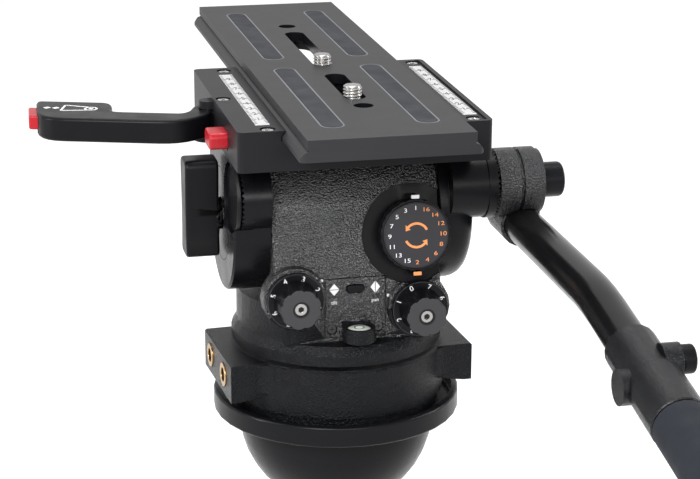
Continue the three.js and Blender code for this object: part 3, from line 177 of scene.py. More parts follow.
# Name, colour, roughness, metallic, grain scale and depth, colour spread, specular level, gloss patches
FINISHES = {
    "satin": ("satin black", (0.0045, 0.0047, 0.0058), 0.28, 0.0, 5000.0, 0.02, 0.1, 0.12),
    "anodised": ("anodised grey", (0.018, 0.0178, 0.0195), 0.5, 0.0, 7000.0, 0.01, 0.01, 0.24, 0.02),
    "saddle grey": ("saddle grey", (0.008, 0.008, 0.0095), 0.42, 0.0, 7000.0, 0.01, 0.02, 0.14, 0.02),
    "moulded": ("moulded black", (0.0035, 0.0036, 0.0044), 0.36, 0.0, 4000.0, 0.03, 0.1, 0.12),
    "dial face": ("dial face", (0.02, 0.02, 0.024), 0.42, 0.0, 4000.0, 0.01, 0.05, 0.25),
    "knob grey": ("knob grey", (0.044, 0.0425, 0.045), 0.5, 0.0, 4000.0, 0.02, 0.05, 0.2),
    "gloss": ("gloss black", (0.005, 0.005, 0.0055), 0.2, 0.0, 5000.0, 0.005, 0.1, 0.3),
    "steel": ("steel", (0.6, 0.6, 0.6), 0.22, 1.0, 3000.0, 0.01, 0.08),
    "screw steel": ("screw steel", (0.34, 0.33, 0.32), 0.3, 1.0, 3000.0, 0.02, 0.08),
    "dark steel": ("dark steel", (0.05, 0.05, 0.052), 0.3, 0.6, 3000.0, 0.01),
    "brass": ("brass", (0.38, 0.23, 0.09), 0.26, 1.0, 3000.0, 0.01, 0.1),
    "red": ("red plastic", (0.4, 0.012, 0.02), 0.32, 0.0, 3000.0, 0.02, 0.06, 0.25),
    "white": ("white strip", (0.6, 0.6, 0.6), 0.45, 0.0, 3000.0, 0.01, 0.03),
    "pad": ("rubber pad", (0.032, 0.033, 0.038), 0.75, 0.0, 2500.0, 0.02, 0.02, 0.2),
    # Light lines round the pads: a painted highlight on the pockets' chamfers.
    "pad highlight": ("pad edge", (0.16, 0.165, 0.175), 0.5, 0.0, 2500.0, 0.01, 0.1, 0.2),
    "grip": ("grip rubber", (0.012, 0.0142, 0.019), 0.7, 0.0, 2500.0, 0.05, 0.06, 0.2),
    # Light ring on the drag dials' rims: a painted highlight on the rim's chamfer.
    "rim line": ("rim line", (0.035, 0.035, 0.038), 0.4, 0.0, 2500.0, 0.01, 0.1, 0.3),
    # White for print, also the level's bubble as a painted highlight.
    "print and highlight white": ("white print", (0.8, 0.8, 0.8), 0.5, 0.0, 3000.0, 0.0, 0.04, 0.2),
    "print orange": ("orange print", (0.8, 0.29, 0.1), 0.5, 0.0, 3000.0, 0.0, 0.05, 0.2),
    # Black for print, also painted as shade in the dial groove, the knob screws' seats and sockets and the
    # panel screws' slots.
    "print and shade black": ("black print", (0.008, 0.008, 0.008), 0.5, 0.0, 3000.0, 0.0, 0.1, 0.2),
}


def shader(name, colour, roughness, metallic=0.0, specular=0.5):
    material = bpy.data.materials.new(name)
    material.use_nodes = True
    tree = material.node_tree
    surface = tree.nodes["Principled BSDF"]
    surface.inputs["Base Color"].default_value = (*colour, 1)
    surface.inputs["Roughness"].default_value = roughness
    surface.inputs["Metallic"].default_value = metallic
    surface.inputs["Specular IOR Level"].default_value = specular
    return material, tree, surface


def noise_node(tree, scale, detail, distortion=0.0):
    place = tree.nodes.new("ShaderNodeTexCoord")
    noise = tree.nodes.new("ShaderNodeTexNoise")
    noise.inputs["Scale"].default_value = scale
    noise.inputs["Detail"].default_value = detail
    noise.inputs["Distortion"].default_value = distortion
    tree.links.new(place.outputs["Object"], noise.inputs["Vector"])
    return noise


def ramp_node(tree, source, low, high, start=0.3, end=0.7):
    ramp = tree.nodes.new("ShaderNodeValToRGB")
    ramp.color_ramp.elements[0].position = start
    ramp.color_ramp.elements[1].position = end
    ramp.color_ramp.elements[0].color = (*low, 1)
    ramp.color_ramp.elements[1].color = (*high, 1)
    tree.links.new(source, ramp.inputs["Fac"])
    return ramp


def bump(tree, surface, source, depth, strength):
    node = tree.nodes.new("ShaderNodeBump")
    node.inputs["Distance"].default_value = depth * MM
    node.inputs["Strength"].default_value = strength
    tree.links.new(source, node.inputs["Height"])
    tree.links.new(node.outputs["Normal"], surface.inputs["Normal"])


def mottle(tree, surface, colour, spread, scale):
    """Small changes of colour over the surface, as handling and dust leave them."""
    low = tuple(channel * (1 - spread) for channel in colour)
    high = tuple(channel * (1 + spread) for channel in colour)
    ramp = ramp_node(tree, noise_node(tree, scale, GRAIN["patch_detail"]).outputs["Fac"], low, high)
    tree.links.new(ramp.outputs["Color"], surface.inputs["Base Color"])


def uneven_gloss(tree, surface, low, high):
    patches = noise_node(tree, GRAIN["gloss"], GRAIN["gloss_detail"])
    ramp = ramp_node(tree, patches.outputs["Fac"], (low,) * 3, (high,) * 3)
    tree.links.new(ramp.outputs["Color"], surface.inputs["Roughness"])


def crinkle_paint(name, depth, specular, wrinkle=CRINKLE["wrinkle"]):
    """Black crinkle powder coat: worm-like wrinkles a little under a millimetre apart."""
    material, tree, surface = shader(name, CRINKLE["colour"], CRINKLE["roughness"], 0.0, specular)
    wrinkles = noise_node(tree, wrinkle, CRINKLE["detail"], CRINKLE["distortion"]).outputs["Fac"]
    shaped = ramp_node(tree, wrinkles, (0, 0, 0), (1, 1, 1), CRINKLE["valley"], CRINKLE["crest"])
    bump(tree, surface, shaped.outputs["Color"], depth, 1.0)
    mottle(tree, surface, CRINKLE["colour"], CRINKLE["spread"], CRINKLE["patch"])
    return material


def fine_finish(name, colour, roughness, metallic, grain_scale, grain_depth,
                spread=0.15, specular=0.5, patches=0.15):
    """A smooth finish with a fine grain, slightly uneven in colour and gloss."""
    material, tree, surface = shader(name, colour, roughness, metallic, specular)
    grain = noise_node(tree, grain_scale, GRAIN["detail"])
    bump(tree, surface, grain.outputs["Fac"], grain_depth, GRAIN["strength"])
    mottle(tree, surface, colour, spread, GRAIN["patch"])
    uneven_gloss(tree, surface, roughness * (1 - patches), roughness * (1 + patches))
    return material


def clear_vial():
    material, tree, surface = shader("vial", VIAL["colour"], VIAL["roughness"])
    surface.inputs["Coat Weight"].default_value = 1.0
    surface.inputs["Coat Roughness"].default_value = VIAL["coat_roughness"]
    mottle(tree, surface, VIAL["colour"], VIAL["spread"], VIAL["patch"])
    return material


def make_materials():
    made = {key: crinkle_paint(*values) for key, values in CRINKLES.items()}
    made.update({key: fine_finish(*values) for key, values in FINISHES.items()})
    made["vial"] = clear_vial()
    return made


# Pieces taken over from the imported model, with softened edges: the finish of each and its edges' width
WELD_DISTANCE = 0.005
FLAT_ANGLE, EDGE_ANGLE = 1, 32
EDGE_SEGMENTS = 3
WIDE_EDGES = ("platform_lock_lever", "tilt_lock_lever", "lever_tip_button", "safety_button")
DRESSING = {
    "mounting_ring": ("satin", 0.6), "half_ball": ("satin", 0.4), "tie_down_stud": ("steel", 0.4),
    "pan_base": ("calm crinkle", 0.7), "pan_shaft": ("steel", 0.3), "tie_down_knob": ("moulded", 1.0),
    "left_near_insert": ("brass", 0.3), "left_far_insert": ("brass", 0.3),
    "right_near_insert": ("brass", 0.3), "right_far_insert": ("brass", 0.3),
    "body_casting": ("crinkle", 0.7), "level_panel": ("crinkle", 0.3), "level_cup": ("calm crinkle", 0.4),
    "left_panel_screw": ("dark steel", 0.2), "right_panel_screw": ("dark steel", 0.2),
    "level_vial": ("vial", 0.3), "tilt_drag_cartridge": ("steel", 0.3),
    "counterbalance_cartridge": ("steel", 0.3), "pan_drag_cartridge": ("steel", 0.3),
    "light_button": ("moulded", 0.4), "counterbalance_dial": ("moulded", 0.3),
    "tilt_drag_dial": ("satin", 0.3), "tilt_drag_knob": ("moulded", 0.4),
    "tilt_knob_screw": ("screw steel", 0.25), "pan_drag_dial": ("satin", 0.3),
    "pan_drag_knob": ("moulded", 0.4), "pan_knob_screw": ("screw steel", 0.25),
    "pan_lock_lever": ("moulded", 1.0), "saddle": ("saddle grey", 0.9),
    "left_scale_strip": ("white", 0.1), "right_scale_strip": ("white", 0.1), "clamp_jaw": ("steel", 0.2),
    "left_arm": ("satin", 0.5), "right_arm": ("satin", 0.5), "left_rosette_cap": ("moulded", 0.5),
    "left_disc_cover": ("satin", 0.3), "tilt_shaft": ("steel", 0.3), "tilt_lock_lever": ("moulded", 1.4),
    "platform_lock_lever": ("moulded", 1.6), "lever_pivot_pin": ("steel", 0.3),
    "lever_tip_button": ("red", 1.0), "safety_button": ("red", 1.2), "camera_plate": ("anodised", 0.4),
    "left_near_pad": ("pad", 0.2), "right_near_pad": ("pad", 0.2),
    "left_far_pad": ("pad", 0.2), "right_far_pad": ("pad", 0.2), "handle_clamp": ("clamp crinkle", 0.5),
    "clamp_knob": ("satin", 0.8), "handle_tube": ("gloss", 0.2), "handle_collar": ("collar grain", 0.8),
    "collar_screw": ("moulded", 0.9), "handle_grip": ("grip", 0.6),
}
RAIL_SCREW = ("steel", 0.25)
DRESSING.update({node: RAIL_SCREW for node in frame["nodes"] if node.startswith("rail_screw")})


def finished_mesh(shape, name):
    mesh = bpy.data.meshes.new(name)
    shape.to_mesh(mesh)
    shape.free()
    return mesh


def placed(name, mesh, material, body):
    mesh.materials.clear()
    mesh.materials.append(material)
    piece = bpy.data.objects.new(name, mesh)
    bpy.context.scene.collection.objects.link(piece)
    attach(piece, body)
    return piece


def welded(node):
    """The node's mesh with its split corners joined and its flat faces whole."""
    source = frame["nodes"][node].data
    mesh = bpy.data.meshes.new(f"{node}_look")
    mesh.from_pydata([v.co for v in source.vertices], [], [tuple(p.vertices) for p in source.polygons])
    shape = bmesh.new()
    shape.from_mesh(mesh)
    bmesh.ops.remove_doubles(shape, verts=shape.verts, dist=WELD_DISTANCE * MM)
    flat = math.radians(FLAT_ANGLE)
    bmesh.ops.dissolve_limit(shape, angle_limit=flat, verts=shape.verts, edges=shape.edges)
    bmesh.ops.connect_verts_concave(shape, faces=shape.faces)
    shape.to_mesh(mesh)
    shape.free()
    return mesh


def softened(piece, width, clamp=True):
    for polygon in piece.data.polygons:
        polygon.use_smooth = True
    edge = piece.modifiers.new("edges", "BEVEL")
    edge.width = width * MM
    edge.segments = EDGE_SEGMENTS
    edge.limit_method = "ANGLE"
    edge.angle_limit = math.radians(EDGE_ANGLE)
    edge.use_clamp_overlap = clamp
    edge.harden_normals = True


def second_finish(piece, material, chosen):
    """Another finish on the faces for which chosen(centre in millimetres, normal) holds; also used for
    painted shade on the dial's recess and the plate's slot walls.
    """
    piece.data.materials.append(MATERIALS[material])
    for polygon in piece.data.polygons:
        if chosen(polygon.center / MM, polygon.normal):
            polygon.material_index = len(piece.data.materials) - 1


def dressed(node, material, width):
    piece = placed(f"{node}_look", welded(node), MATERIALS[material], NODE_BODY[node])
    softened(piece, width, node not in WIDE_EDGES)
    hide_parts(node)
    return piece


# Faces with a second finish: the camera plate's slot walls, painted dark as shade, and the round neck and
# flange below the housing
PLATE_MIDDLE = {"x": 2.5, "half_width": 9.5, "near": -60.0, "far": 180.0, "upright": 0.5}
NECK = {"top": 66.5, "flange_top": 48.6, "radius": 46.0}


def in_plate_slots(centre, normal):
    """The upright walls of the camera plate's slots and holes, painted dark as shade."""
    middle = abs(centre.x - PLATE_MIDDLE["x"]) < PLATE_MIDDLE["half_width"]
    inside = PLATE_MIDDLE["near"] < centre.y < PLATE_MIDDLE["far"]
    return abs(normal.z) < PLATE_MIDDLE["upright"] and middle and inside


def on_neck(centre, normal):
    round_wall = centre.z < NECK["top"] and math.hypot(centre.x, centre.y) > NECK["radius"]
    return centre.z < NECK["flange_top"] or round_wall


def on_knob_front(centre, normal):
    return centre.y < KNOB_FRONT + FACE_DEPTH


# Flat printed marks, and flat marks of painted light and shade: how far they stand out, and a letter's size
# for each millimetre of its height
MARK_DEPTH = 0.05
LETTER_SHARE = 1.38
RING_SIDES, SMALL_RING_SIDES = 48, 24


def facing(centre, normal, up):
    """A matrix at centre whose Z is the surface's normal and whose Y is up on it."""
    normal = Vector(normal).normalized()
    right = Vector(up).cross(normal).normalized()
    up = normal.cross(right)
    return Matrix.Translation(centre) @ Matrix((right, up, normal)).transposed().to_4x4()


def letter_mesh(text, height):
    curve = bpy.data.curves.new("letters", "FONT")
    curve.body = text
    curve.size = height * MM * LETTER_SHARE
    curve.align_x = "CENTER"
    curve.align_y = "CENTER"
    curve.extrude = MARK_DEPTH * MM
    holder = bpy.data.objects.new("letters", curve)
    bpy.context.scene.collection.objects.link(holder)
    bpy.context.view_layer.update()
    mesh = bpy.data.meshes.new_from_object(holder.evaluated_get(bpy.context.evaluated_depsgraph_get()))
    bpy.data.objects.remove(holder)
    return mesh


def joined_mesh(name, pieces):
    """One mesh from a list of (mesh, matrix)."""
    shape = bmesh.new()
    for mesh, matrix in pieces:
        part = mesh.copy()
        part.transform(matrix)
        shape.from_mesh(part)
    return finished_mesh(shape, name)


def circle(radius, sides):
    turn = [2 * math.pi * i / sides for i in range(sides)]
    return [(radius * math.cos(a), radius * math.sin(a)) for a in turn]


def bridged(shape, loops):
    """Faces between each loop of corners and the next, round to the first again."""
    for first, second in zip(loops, loops[1:] + loops[:1]):
        for i in range(len(first)):
            after = (i + 1) % len(first)
            shape.faces.new((first[i], first[after], second[after], second[i]))


def flat_polygon(points):
    """A thin patch, for print and for painted light and shade, with its outline in millimetres, lying on its
    own Z = 0 plane.
    """
    shape = bmesh.new()
    low = [shape.verts.new((x * MM, y * MM, -MARK_DEPTH * MM)) for x, y in points]
    high = [shape.verts.new((x * MM, y * MM, MARK_DEPTH * MM)) for x, y in points]
    shape.faces.new(list(reversed(low)))
    shape.faces.new(high)
    for i in range(len(points)):
        after = (i + 1) % len(points)
        shape.faces.new((low[i], low[after], high[after], high[i]))
    return finished_mesh(shape, "patch")


def bar(width, height, x=0.0, y=0.0):
    half, rise = width / 2, height / 2
    left, right, low, high = x - half, x + half, y - rise, y + rise
    return flat_polygon([(left, low), (right, low), (right, high), (left, high)])


def disc(radius, sides=SMALL_RING_SIDES):
    return flat_polygon(circle(radius, sides))


def ring_patch(outer, inner, sides=RING_SIDES):
    """A thin flat ring."""
    shape = bmesh.new()
    loops = []
    for radius, height in ((outer, MARK_DEPTH), (inner, MARK_DEPTH),
                           (inner, -MARK_DEPTH), (outer, -MARK_DEPTH)):
        loops.append([shape.verts.new((x * MM, y * MM, height * MM)) for x, y in circle(radius, sides)])
    bridged(shape, loops)
    bmesh.ops.recalc_face_normals(shape, faces=shape.faces)
    return finished_mesh(shape, "ring")


def printed(name, pieces, material, body):
    return placed(name, joined_mesh(name, pieces), MATERIALS[material], body)


def around(plane, labels, start, step, radius, height, upright, stretch=1.0):
    """Labels set on a circle: the first at angle start, each next one a step on."""
    pieces = []
    for i, label in enumerate(labels):
        angle = math.radians(start + step * i)
        place = Matrix.Translation((radius * math.cos(angle) * MM, radius * math.sin(angle) * MM, 0))
        turn = Matrix() if upright else Matrix.Rotation(angle - math.pi / 2, 4, "Z")
        wide = Matrix.Diagonal((stretch, 1, 1, 1))
        pieces.append((letter_mesh(label, height), plane @ place @ turn @ wide))
    return pieces


# Counterbalance dial: odd numbers from the top and even ones from below, a black ring painted as the shade
# in its groove, and turning arrows; the round recess behind it, whose faces are painted black as shade, and
# the index blocks above and below it
COUNTER = {"centre": (29.4, -48.6, 102.8), "lean": 10.0, "ring": 13.3, "height": 2.1, "step": 22.5,
           "last": 16, "stretch": 1.35, "groove": (15.95, 15.55)}
ARROW = {"outer": 6.4, "inner": 5.2, "head": 1.7, "point": 1.3, "start": 25.0, "sweep": 110.0, "steps": 12}
RECESS = {"radius": 25.1, "depth": 16.0}
INDEX_BLOCK = {"width": 4.1, "height": 1.9, "depth": 9.0, "reach": 17.85, "edge": 0.3, "facing": 0.9}
FACE_DEPTH = 0.3


def counter_plane():
    lean = math.radians(COUNTER["lean"])
    normal = (0, -math.cos(lean), math.sin(lean))
    return facing(millimetres(*COUNTER["centre"]), normal, (0, math.sin(lean), math.cos(lean)))


def counter_marks():
    plane = counter_plane()
    step, ring, height, stretch = (COUNTER[key] for key in ("step", "ring", "height", "stretch"))
    odd = [str(n) for n in range(1, COUNTER["last"], 2)]
    even = [str(n) for n in range(2, COUNTER["last"] + 1, 2)]
    white = around(plane, odd, 90, step, ring, height, True, stretch)
    orange = around(plane, even, 270, step, ring, height, True, stretch)
    printed("counterbalance_white_numbers", white, "print and highlight white", "counterbalance")
    printed("counterbalance_orange_numbers", orange, "print orange", "counterbalance")
    # A black ring painted as the shade inside the dial's groove.
    groove = [(ring_patch(*COUNTER["groove"]), plane)]
    printed("counterbalance_groove", groove, "print and shade black", "counterbalance")


def turn_arrow(start):
    """A curved arrow round the dial's axis, beginning at angle start."""
    steps = ARROW["steps"]
    angles = [math.radians(start + ARROW["sweep"] * i / steps) for i in range(steps + 1)]
    middle = (ARROW["outer"] + ARROW["inner"]) / 2
    tip = angles[-1] + ARROW["head"] * ARROW["point"] / middle
    outside = [(ARROW["outer"] * math.cos(a), ARROW["outer"] * math.sin(a)) for a in angles]
    inside = [(ARROW["inner"] * math.cos(a), ARROW["inner"] * math.sin(a)) for a in reversed(angles)]
    head = [((middle + reach) * math.cos(a), (middle + reach) * math.sin(a))
            for reach, a in ((ARROW["head"], angles[-1]), (0, tip), (-ARROW["head"], angles[-1]))]
    return [flat_polygon(outside + inside), flat_polygon(head)]


def dial_arrows():
    plane = counter_plane()
    starts = (ARROW["start"], ARROW["start"] + 180.0)
    arrows = [(part, plane) for start in starts for part in turn_arrow(start)]
    printed("counterbalance_arrows", arrows, "print orange", "counterbalance")


def in_recess(centre, normal):
    """Whether a face of the housing belongs to the round recess behind the dial, which is painted black as
    shade.
    """
    place = counter_plane().inverted() @ (centre * MM) / MM
    return math.hypot(place.x, place.y) < RECESS["radius"] and abs(place.z) < RECESS["depth"]


def on_dial_face(centre, normal):
    return (counter_plane().inverted() @ (centre * MM)).z > -FACE_DEPTH * MM


def index_block(name, side, material):
    """A small post from the recess floor, with its coloured end beside the dial's rim."""
    width, height, depth = INDEX_BLOCK["width"], INDEX_BLOCK["height"], INDEX_BLOCK["depth"]
    shape = bmesh.new()
    bmesh.ops.create_cube(shape, size=1.0)
    size = Matrix.Diagonal((width * MM, height * MM, depth * MM, 1))
    place = Matrix.Translation((0, side * (INDEX_BLOCK["reach"] + height / 2) * MM, -depth / 2 * MM))
    bmesh.ops.transform(shape, matrix=counter_plane() @ place @ size, verts=shape.verts)
    piece = placed(name, finished_mesh(shape, name), MATERIALS["moulded"], "pan_body")
    front = counter_plane().to_3x3() @ Vector((0, 0, 1))
    second_finish(piece, material, lambda centre, normal: normal.dot(front) > INDEX_BLOCK["facing"])
    softened(piece, INDEX_BLOCK["edge"])


# Drag dials: numbers on each face, a light ring painted as the rim's highlight, a dark ring and socket
# painted as the shade round and in the knob's screw, and a dot on the housing
DIAL_FRONT, HOUSING_FRONT, PANEL_FRONT = -48.3, -41.6, -41.9
DRAG_DIALS = {
    "tilt_drag": {"centre": (-30.2, 72.9), "zero": -63.0, "step": 45.0, "dot": (-16.2, 80.4)},
    "pan_drag": {"centre": (32.1, 64.8), "zero": 114.0, "step": 45.0, "dot": (17.3, 70.6)},
}
DIAL = {"labels": 8, "ring": 11.6, "digit": 2.8, "rim": (13.9, 13.68), "dot": 0.75}
SCREW_SHADE_RING = (4.1, 3.15)
SOCKET = {"radius": 1.4, "depth": 1.45, "sides": 6}
KNOB_FRONT = -61.0


def front_plane(x, y, z):
    return facing(millimetres(x, y, z), (0, -1, 0), (0, 0, 1))


def dial_marks():
    labels = [str(n) for n in range(DIAL["labels"])]
    dots = []
    for body, dial in DRAG_DIALS.items():
        x, z = dial["centre"]
        plane = front_plane(x, DIAL_FRONT, z)
        numbers = around(plane, labels, dial["zero"], dial["step"], DIAL["ring"], DIAL["digit"], False)
        printed(f"{body}_numbers", numbers, "print and highlight white", body)
        # A lighter ring painted as the highlight on the dial rim's chamfer.
        rim = [(ring_patch(*DIAL["rim"]), plane)]
        printed(f"{body}_rim_highlight", rim, "rim line", body)
        # A black ring painted as the shade round the screw's head.
        seat = [(ring_patch(*SCREW_SHADE_RING), front_plane(x, KNOB_FRONT, z))]
        printed(f"{body}_screw_seat_shade", seat, "print and shade black", body)
        # A black hexagon painted as the shade at the bottom of the screw's socket.
        floor = front_plane(x, KNOB_FRONT + SOCKET["depth"], z)
        socket = [(disc(SOCKET["radius"], SOCKET["sides"]), floor)]
        printed(f"{body}_screw_socket_shade", socket, "print and shade black", body)
        dots.append((disc(DIAL["dot"]), front_plane(dial["dot"][0], HOUSING_FRONT, dial["dot"][1])))
    printed("housing_index_dots", dots, "print and highlight white", "pan_body")


# Level panel: a split diamond and a word on each side of the button, and black crosses painted as the shade
# in its screws' cross slots
PANEL_MARKS = {"left": (-10.0, 75.4), "right": (10.6, 75.6), "word_drop": 6.7, "word_height": 1.9}
DIAMOND = {"half_width": 2.4, "half_height": 3.0, "split": 0.35}
PANEL_SCREWS = {"x": (-10.9, 12.5), "z": 54.7, "depth": 0.9, "slot": (2.6, 0.55)}


def diamond(upright):
    """Two triangles back to back, with a thin line between them."""
    wide, high, split = DIAMOND["half_width"], DIAMOND["half_height"], DIAMOND["split"] / 2
    if upright:
        halves = [[(-wide, split), (wide, split), (0, high)],
                  [(wide, -split), (-wide, -split), (0, -high)]]
    else:
        halves = [[(split, -high), (wide, 0), (split, high)],
                  [(-split, high), (-wide, 0), (-split, -high)]]
    return [flat_polygon(points) for points in halves]


def panel_marks():
    white = []
    for side, upright, word in (("left", True, "tilt"), ("right", False, "pan")):
        x, z = PANEL_MARKS[side]
        plane = front_plane(x, PANEL_FRONT, z)
        white += [(half, plane) for half in diamond(upright)]
        below = front_plane(x, PANEL_FRONT, z - PANEL_MARKS["word_drop"])
        white.append((letter_mesh(word, PANEL_MARKS["word_height"]), below))
    printed("panel_marks", white, "print and highlight white", "pan_body")
    # Black crosses painted as the shade of the screws' cross slots.
    slots = []
    for x in PANEL_SCREWS["x"]:
        plane = front_plane(x, PANEL_FRONT + PANEL_SCREWS["depth"], PANEL_SCREWS["z"])
        length, width = PANEL_SCREWS["slot"]
        slots += [(bar(length, width), plane), (bar(width, length), plane)]
    printed("panel_screw_slot_shade", slots, "print and shade black", "pan_body")


# Level: its ring, and the bubble as a white disc whose whiteness is a painted highlight
LEVEL = {"x": 0.8, "y": -49.9, "top": 58.02, "ring": (2.6, 2.2), "bubble": 1.7}


def level_marks():
    plane = facing(millimetres(LEVEL["x"], LEVEL["y"], LEVEL["top"]), (0, 0, 1), (0, 1, 0))
    printed("level_ring", [(ring_patch(*LEVEL["ring"]), plane)], "print and shade black", "pan_body")
    # The bubble is a white disc: a painted highlight.
    printed("level_bubble_highlight", [(disc(LEVEL["bubble"]), plane)], "print and highlight white", "pan_body")


# Scale strips: ticks along both edges and a number at every long one
STRIP = {"near": -54.0, "far": 52.0, "top": 163.45, "width": 6.7, "pitch": 2.65, "line": 0.75, "every": 4,
         "long": 2.2, "short": 1.2, "margin": 0.1, "digit": 3.0, "stretch": 1.7}
STRIP_PLACES = {"left": -46.9, "right": 53.5}


def strip_marks():
    count = int((STRIP["far"] - STRIP["near"]) / STRIP["pitch"])
    tall = Matrix.Diagonal((1, STRIP["stretch"], 1, 1))
    for side, x in STRIP_PLACES.items():
        ticks = []
        plane = facing(millimetres(x, 0, STRIP["top"]), (0, 0, 1), (0, 1, 0))
        for i in range(1, count):
            y = STRIP["near"] + i * STRIP["pitch"]
            long_tick = i % STRIP["every"] == 0
            length = STRIP["long"] if long_tick else STRIP["short"]
            for edge in (-1, 1):
                middle = edge * (STRIP["width"] / 2 - length / 2 - STRIP["margin"])
                ticks.append((bar(length, STRIP["line"], middle, y), plane))
            if long_tick:
                turn = Matrix.Translation((0, y * MM, 0))
                number = letter_mesh(str(i // STRIP["every"]), STRIP["digit"])
                ticks.append((number, plane @ turn @ tall))
        printed(f"{side}_scale_marks", ticks, "print and shade black", "platform")


# Pictogram on the long lever's paddle: a small lever with its pivot, and two diamonds beyond its tip
LEVER = {"pivot": (-62.7, 11.0), "angle": 17.5, "top": 156.5}
ICON = {"eye": (57.0, -7.0), "eye_ring": (3.4, 2.4), "eye_dot": 1.2, "end": 71.0, "far": -1.0, "near": -12.0,
        "line": 1.1, "ahead": 0.5, "aside": 0.9, "diamonds": (74.5, 79.0), "size": 2.0}


def lever_spot(reach, side):
    """A point on the lever's top: reach outwards from the pivot, side towards the far end."""
    turn = math.radians(180 - LEVER["angle"])
    x = LEVER["pivot"][0] + reach * math.cos(turn) + side * math.sin(turn)
    y = LEVER["pivot"][1] + reach * math.sin(turn) - side * math.cos(turn)
    return x, y


def thick_line(first, last, width):
    """A printed line between two points of the lever's top."""
    start, end = Vector(lever_spot(*first)), Vector(lever_spot(*last))
    aside = (end - start).orthogonal().normalized() * width / 2
    corners = (start + aside, end + aside, end - aside, start - aside)
    return flat_polygon([tuple(corner) for corner in corners])


def lever_marks():
    plane = facing(millimetres(0, 0, LEVER["top"]), (0, 0, 1), (0, 1, 0))
    eye_reach, eye_side = ICON["eye"]
    eye = Matrix.Translation((*(value * MM for value in lever_spot(eye_reach, eye_side)), 0))
    ring = ring_patch(*ICON["eye_ring"], sides=SMALL_RING_SIDES)
    marks = [(ring, plane @ eye), (disc(ICON["eye_dot"]), plane @ eye)]
    ahead, aside = (ICON["eye_ring"][0] * ICON[key] for key in ("ahead", "aside"))
    corners = [(eye_reach + ahead, eye_side + aside), (ICON["end"], ICON["far"]),
               (ICON["end"], ICON["near"]), (eye_reach + ahead, eye_side - aside)]
    marks += [(thick_line(first, last, ICON["line"]), plane) for first, last in zip(corners, corners[1:])]
    size = ICON["size"]
    for reach in ICON["diamonds"]:
        tips = [(reach - size, eye_side), (reach, eye_side + size),
                (reach + size, eye_side), (reach, eye_side - size)]
        marks.append((flat_polygon([lever_spot(*tip) for tip in tips]), plane))
    printed("lever_pictogram", marks, "print and highlight white", "platform_lever")


# Camera screws: a turned profile whose wall rises and falls along a helix
THREAD = {"pitch": 1.5875, "depth": 0.75, "steps": 8}
SCREW = {"shank": 4.7, "root": 4.1, "tip": 3.8, "shoulder": 3.0, "chamfer": 0.4,
         "lead": 1.0, "end": 0.7, "step": 0.01}


def wave(share):
    """0 at the thread's root, 1 at its crest."""
    return 1 - abs(2 * (share % 1.0) - 1)


def turned_thread(name, stations, sides=RING_SIDES):
    """A closed turned solid: stations are (radius, height, threaded)."""
    shape = bmesh.new()
    rings = []
    for radius, height, threaded in stations:
        ring = []
        for i in range(sides):
            angle = 2 * math.pi * i / sides
            cut = THREAD["depth"] * (1 - wave(height / THREAD["pitch"] - i / sides)) if threaded else 0.0
            reach = (radius - cut) * MM
            ring.append(shape.verts.new((reach * math.cos(angle), reach * math.sin(angle), height * MM)))
        rings.append(ring)
    for low, high in zip(rings, rings[1:]):
        for i in range(sides):
            after = (i + 1) % sides
            shape.faces.new((low[i], low[after], high[after], high[i]))
    shape.faces.new(list(reversed(rings[0])))
    shape.faces.new(rings[-1])
    return finished_mesh(shape, name)


def camera_screw(node):
    low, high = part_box(node)
    head, bottom, top = (high.x - low.x) / 2 / MM, low.z / MM, high.z / MM
    shoulder, chamfer = bottom + SCREW["shoulder"], SCREW["chamfer"]
    first, last = shoulder + SCREW["lead"], top - SCREW["end"]
    count = int((last - first) / (THREAD["pitch"] / THREAD["steps"]))
    stations = [(head - chamfer, bottom, False), (head, bottom + chamfer, False),
                (head, shoulder - chamfer, False), (head - chamfer, shoulder, False),
                (SCREW["root"], shoulder, False), (SCREW["root"], first - SCREW["step"], False)]
    stations += [(SCREW["shank"], first + (last - first) * i / count, True) for i in range(count + 1)]
    stations += [(SCREW["tip"], top, False)]
    mesh = turned_thread(f"{node}_thread", stations)
    for polygon in mesh.polygons:
        polygon.use_smooth = True
    centre = (low + high) / 2
    mesh.transform(Matrix.Translation((centre.x, centre.y, 0)))
    piece = placed(f"{node}_threaded", mesh, MATERIALS["screw steel"], NODE_BODY[node])
    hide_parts(node)


# Thin light lines round the rubber pads: painted highlights on the chamfers of the plate's pockets
PAD_HIGHLIGHT = {"width": 0.8, "gap": 0.15, "sides": 10}


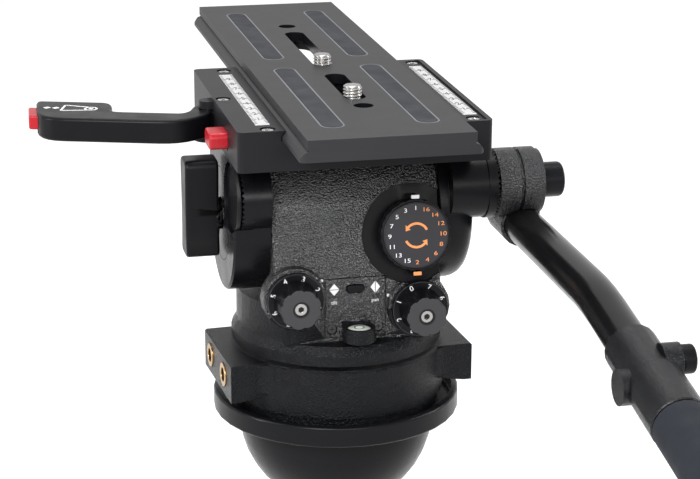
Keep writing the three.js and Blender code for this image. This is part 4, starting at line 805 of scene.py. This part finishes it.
def stadium(low, high, grow):
    """Points round a strip with rounded ends, running along Y."""
    radius = (high.x - low.x) / 2 / MM + grow
    x = (low.x + high.x) / 2 / MM
    near, far = low.y / MM + radius - grow, high.y / MM - radius + grow
    points = []
    for centre, start in ((near, math.pi), (far, 0.0)):
        for i in range(PAD_HIGHLIGHT["sides"] + 1):
            angle = start + math.pi * i / PAD_HIGHLIGHT["sides"]
            points.append((x + radius * math.cos(angle), centre + radius * math.sin(angle)))
    return points


def pad_lines():
    shape = bmesh.new()
    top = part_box("camera_plate")[1].z
    for node in ("left_near_pad", "right_near_pad", "left_far_pad", "right_far_pad"):
        low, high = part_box(node)
        inner = stadium(low, high, PAD_HIGHLIGHT["gap"])
        outer = stadium(low, high, PAD_HIGHLIGHT["gap"] + PAD_HIGHLIGHT["width"])
        loops = []
        for points, height in ((outer, -MARK_DEPTH), (outer, MARK_DEPTH),
                               (inner, MARK_DEPTH), (inner, -MARK_DEPTH)):
            loops.append([shape.verts.new((x * MM, y * MM, top + height * MM)) for x, y in points])
        bridged(shape, loops)
    bmesh.ops.recalc_face_normals(shape, faces=shape.faces)
    mesh = finished_mesh(shape, "pad_lines")
    placed("pad_edge_highlights", mesh, MATERIALS["pad highlight"], "plate")


def main():
    make_camera()
    make_world()
    make_floor()
    for name, (place, size, power) in LAMPS.items():
        area_lamp(name, place, size, power)
    pieces = {node: dressed(node, material, width) for node, (material, width) in DRESSING.items()}
    second_finish(pieces["body_casting"], "calm crinkle", on_neck)
    # The recess behind the counterbalance dial is painted black: painted shade.
    second_finish(pieces["body_casting"], "moulded", in_recess)
    second_finish(pieces["tilt_drag_knob"], "knob grey", on_knob_front)
    second_finish(pieces["pan_drag_knob"], "knob grey", on_knob_front)
    # The camera plate's slot walls are painted satin black: painted shade.
    second_finish(pieces["camera_plate"], "satin", in_plate_slots)
    second_finish(pieces["counterbalance_dial"], "dial face", on_dial_face)
    counter_marks()
    dial_arrows()
    index_block("white_index_block", 1, "print and highlight white")
    index_block("orange_index_block", -1, "print orange")
    dial_marks()
    panel_marks()
    level_marks()
    strip_marks()
    lever_marks()
    camera_screw("near_camera_screw")
    camera_screw("far_camera_screw")
    pad_lines()


MATERIALS = make_materials()
main()
bpy.context.scene.view_settings.view_transform = "Standard"
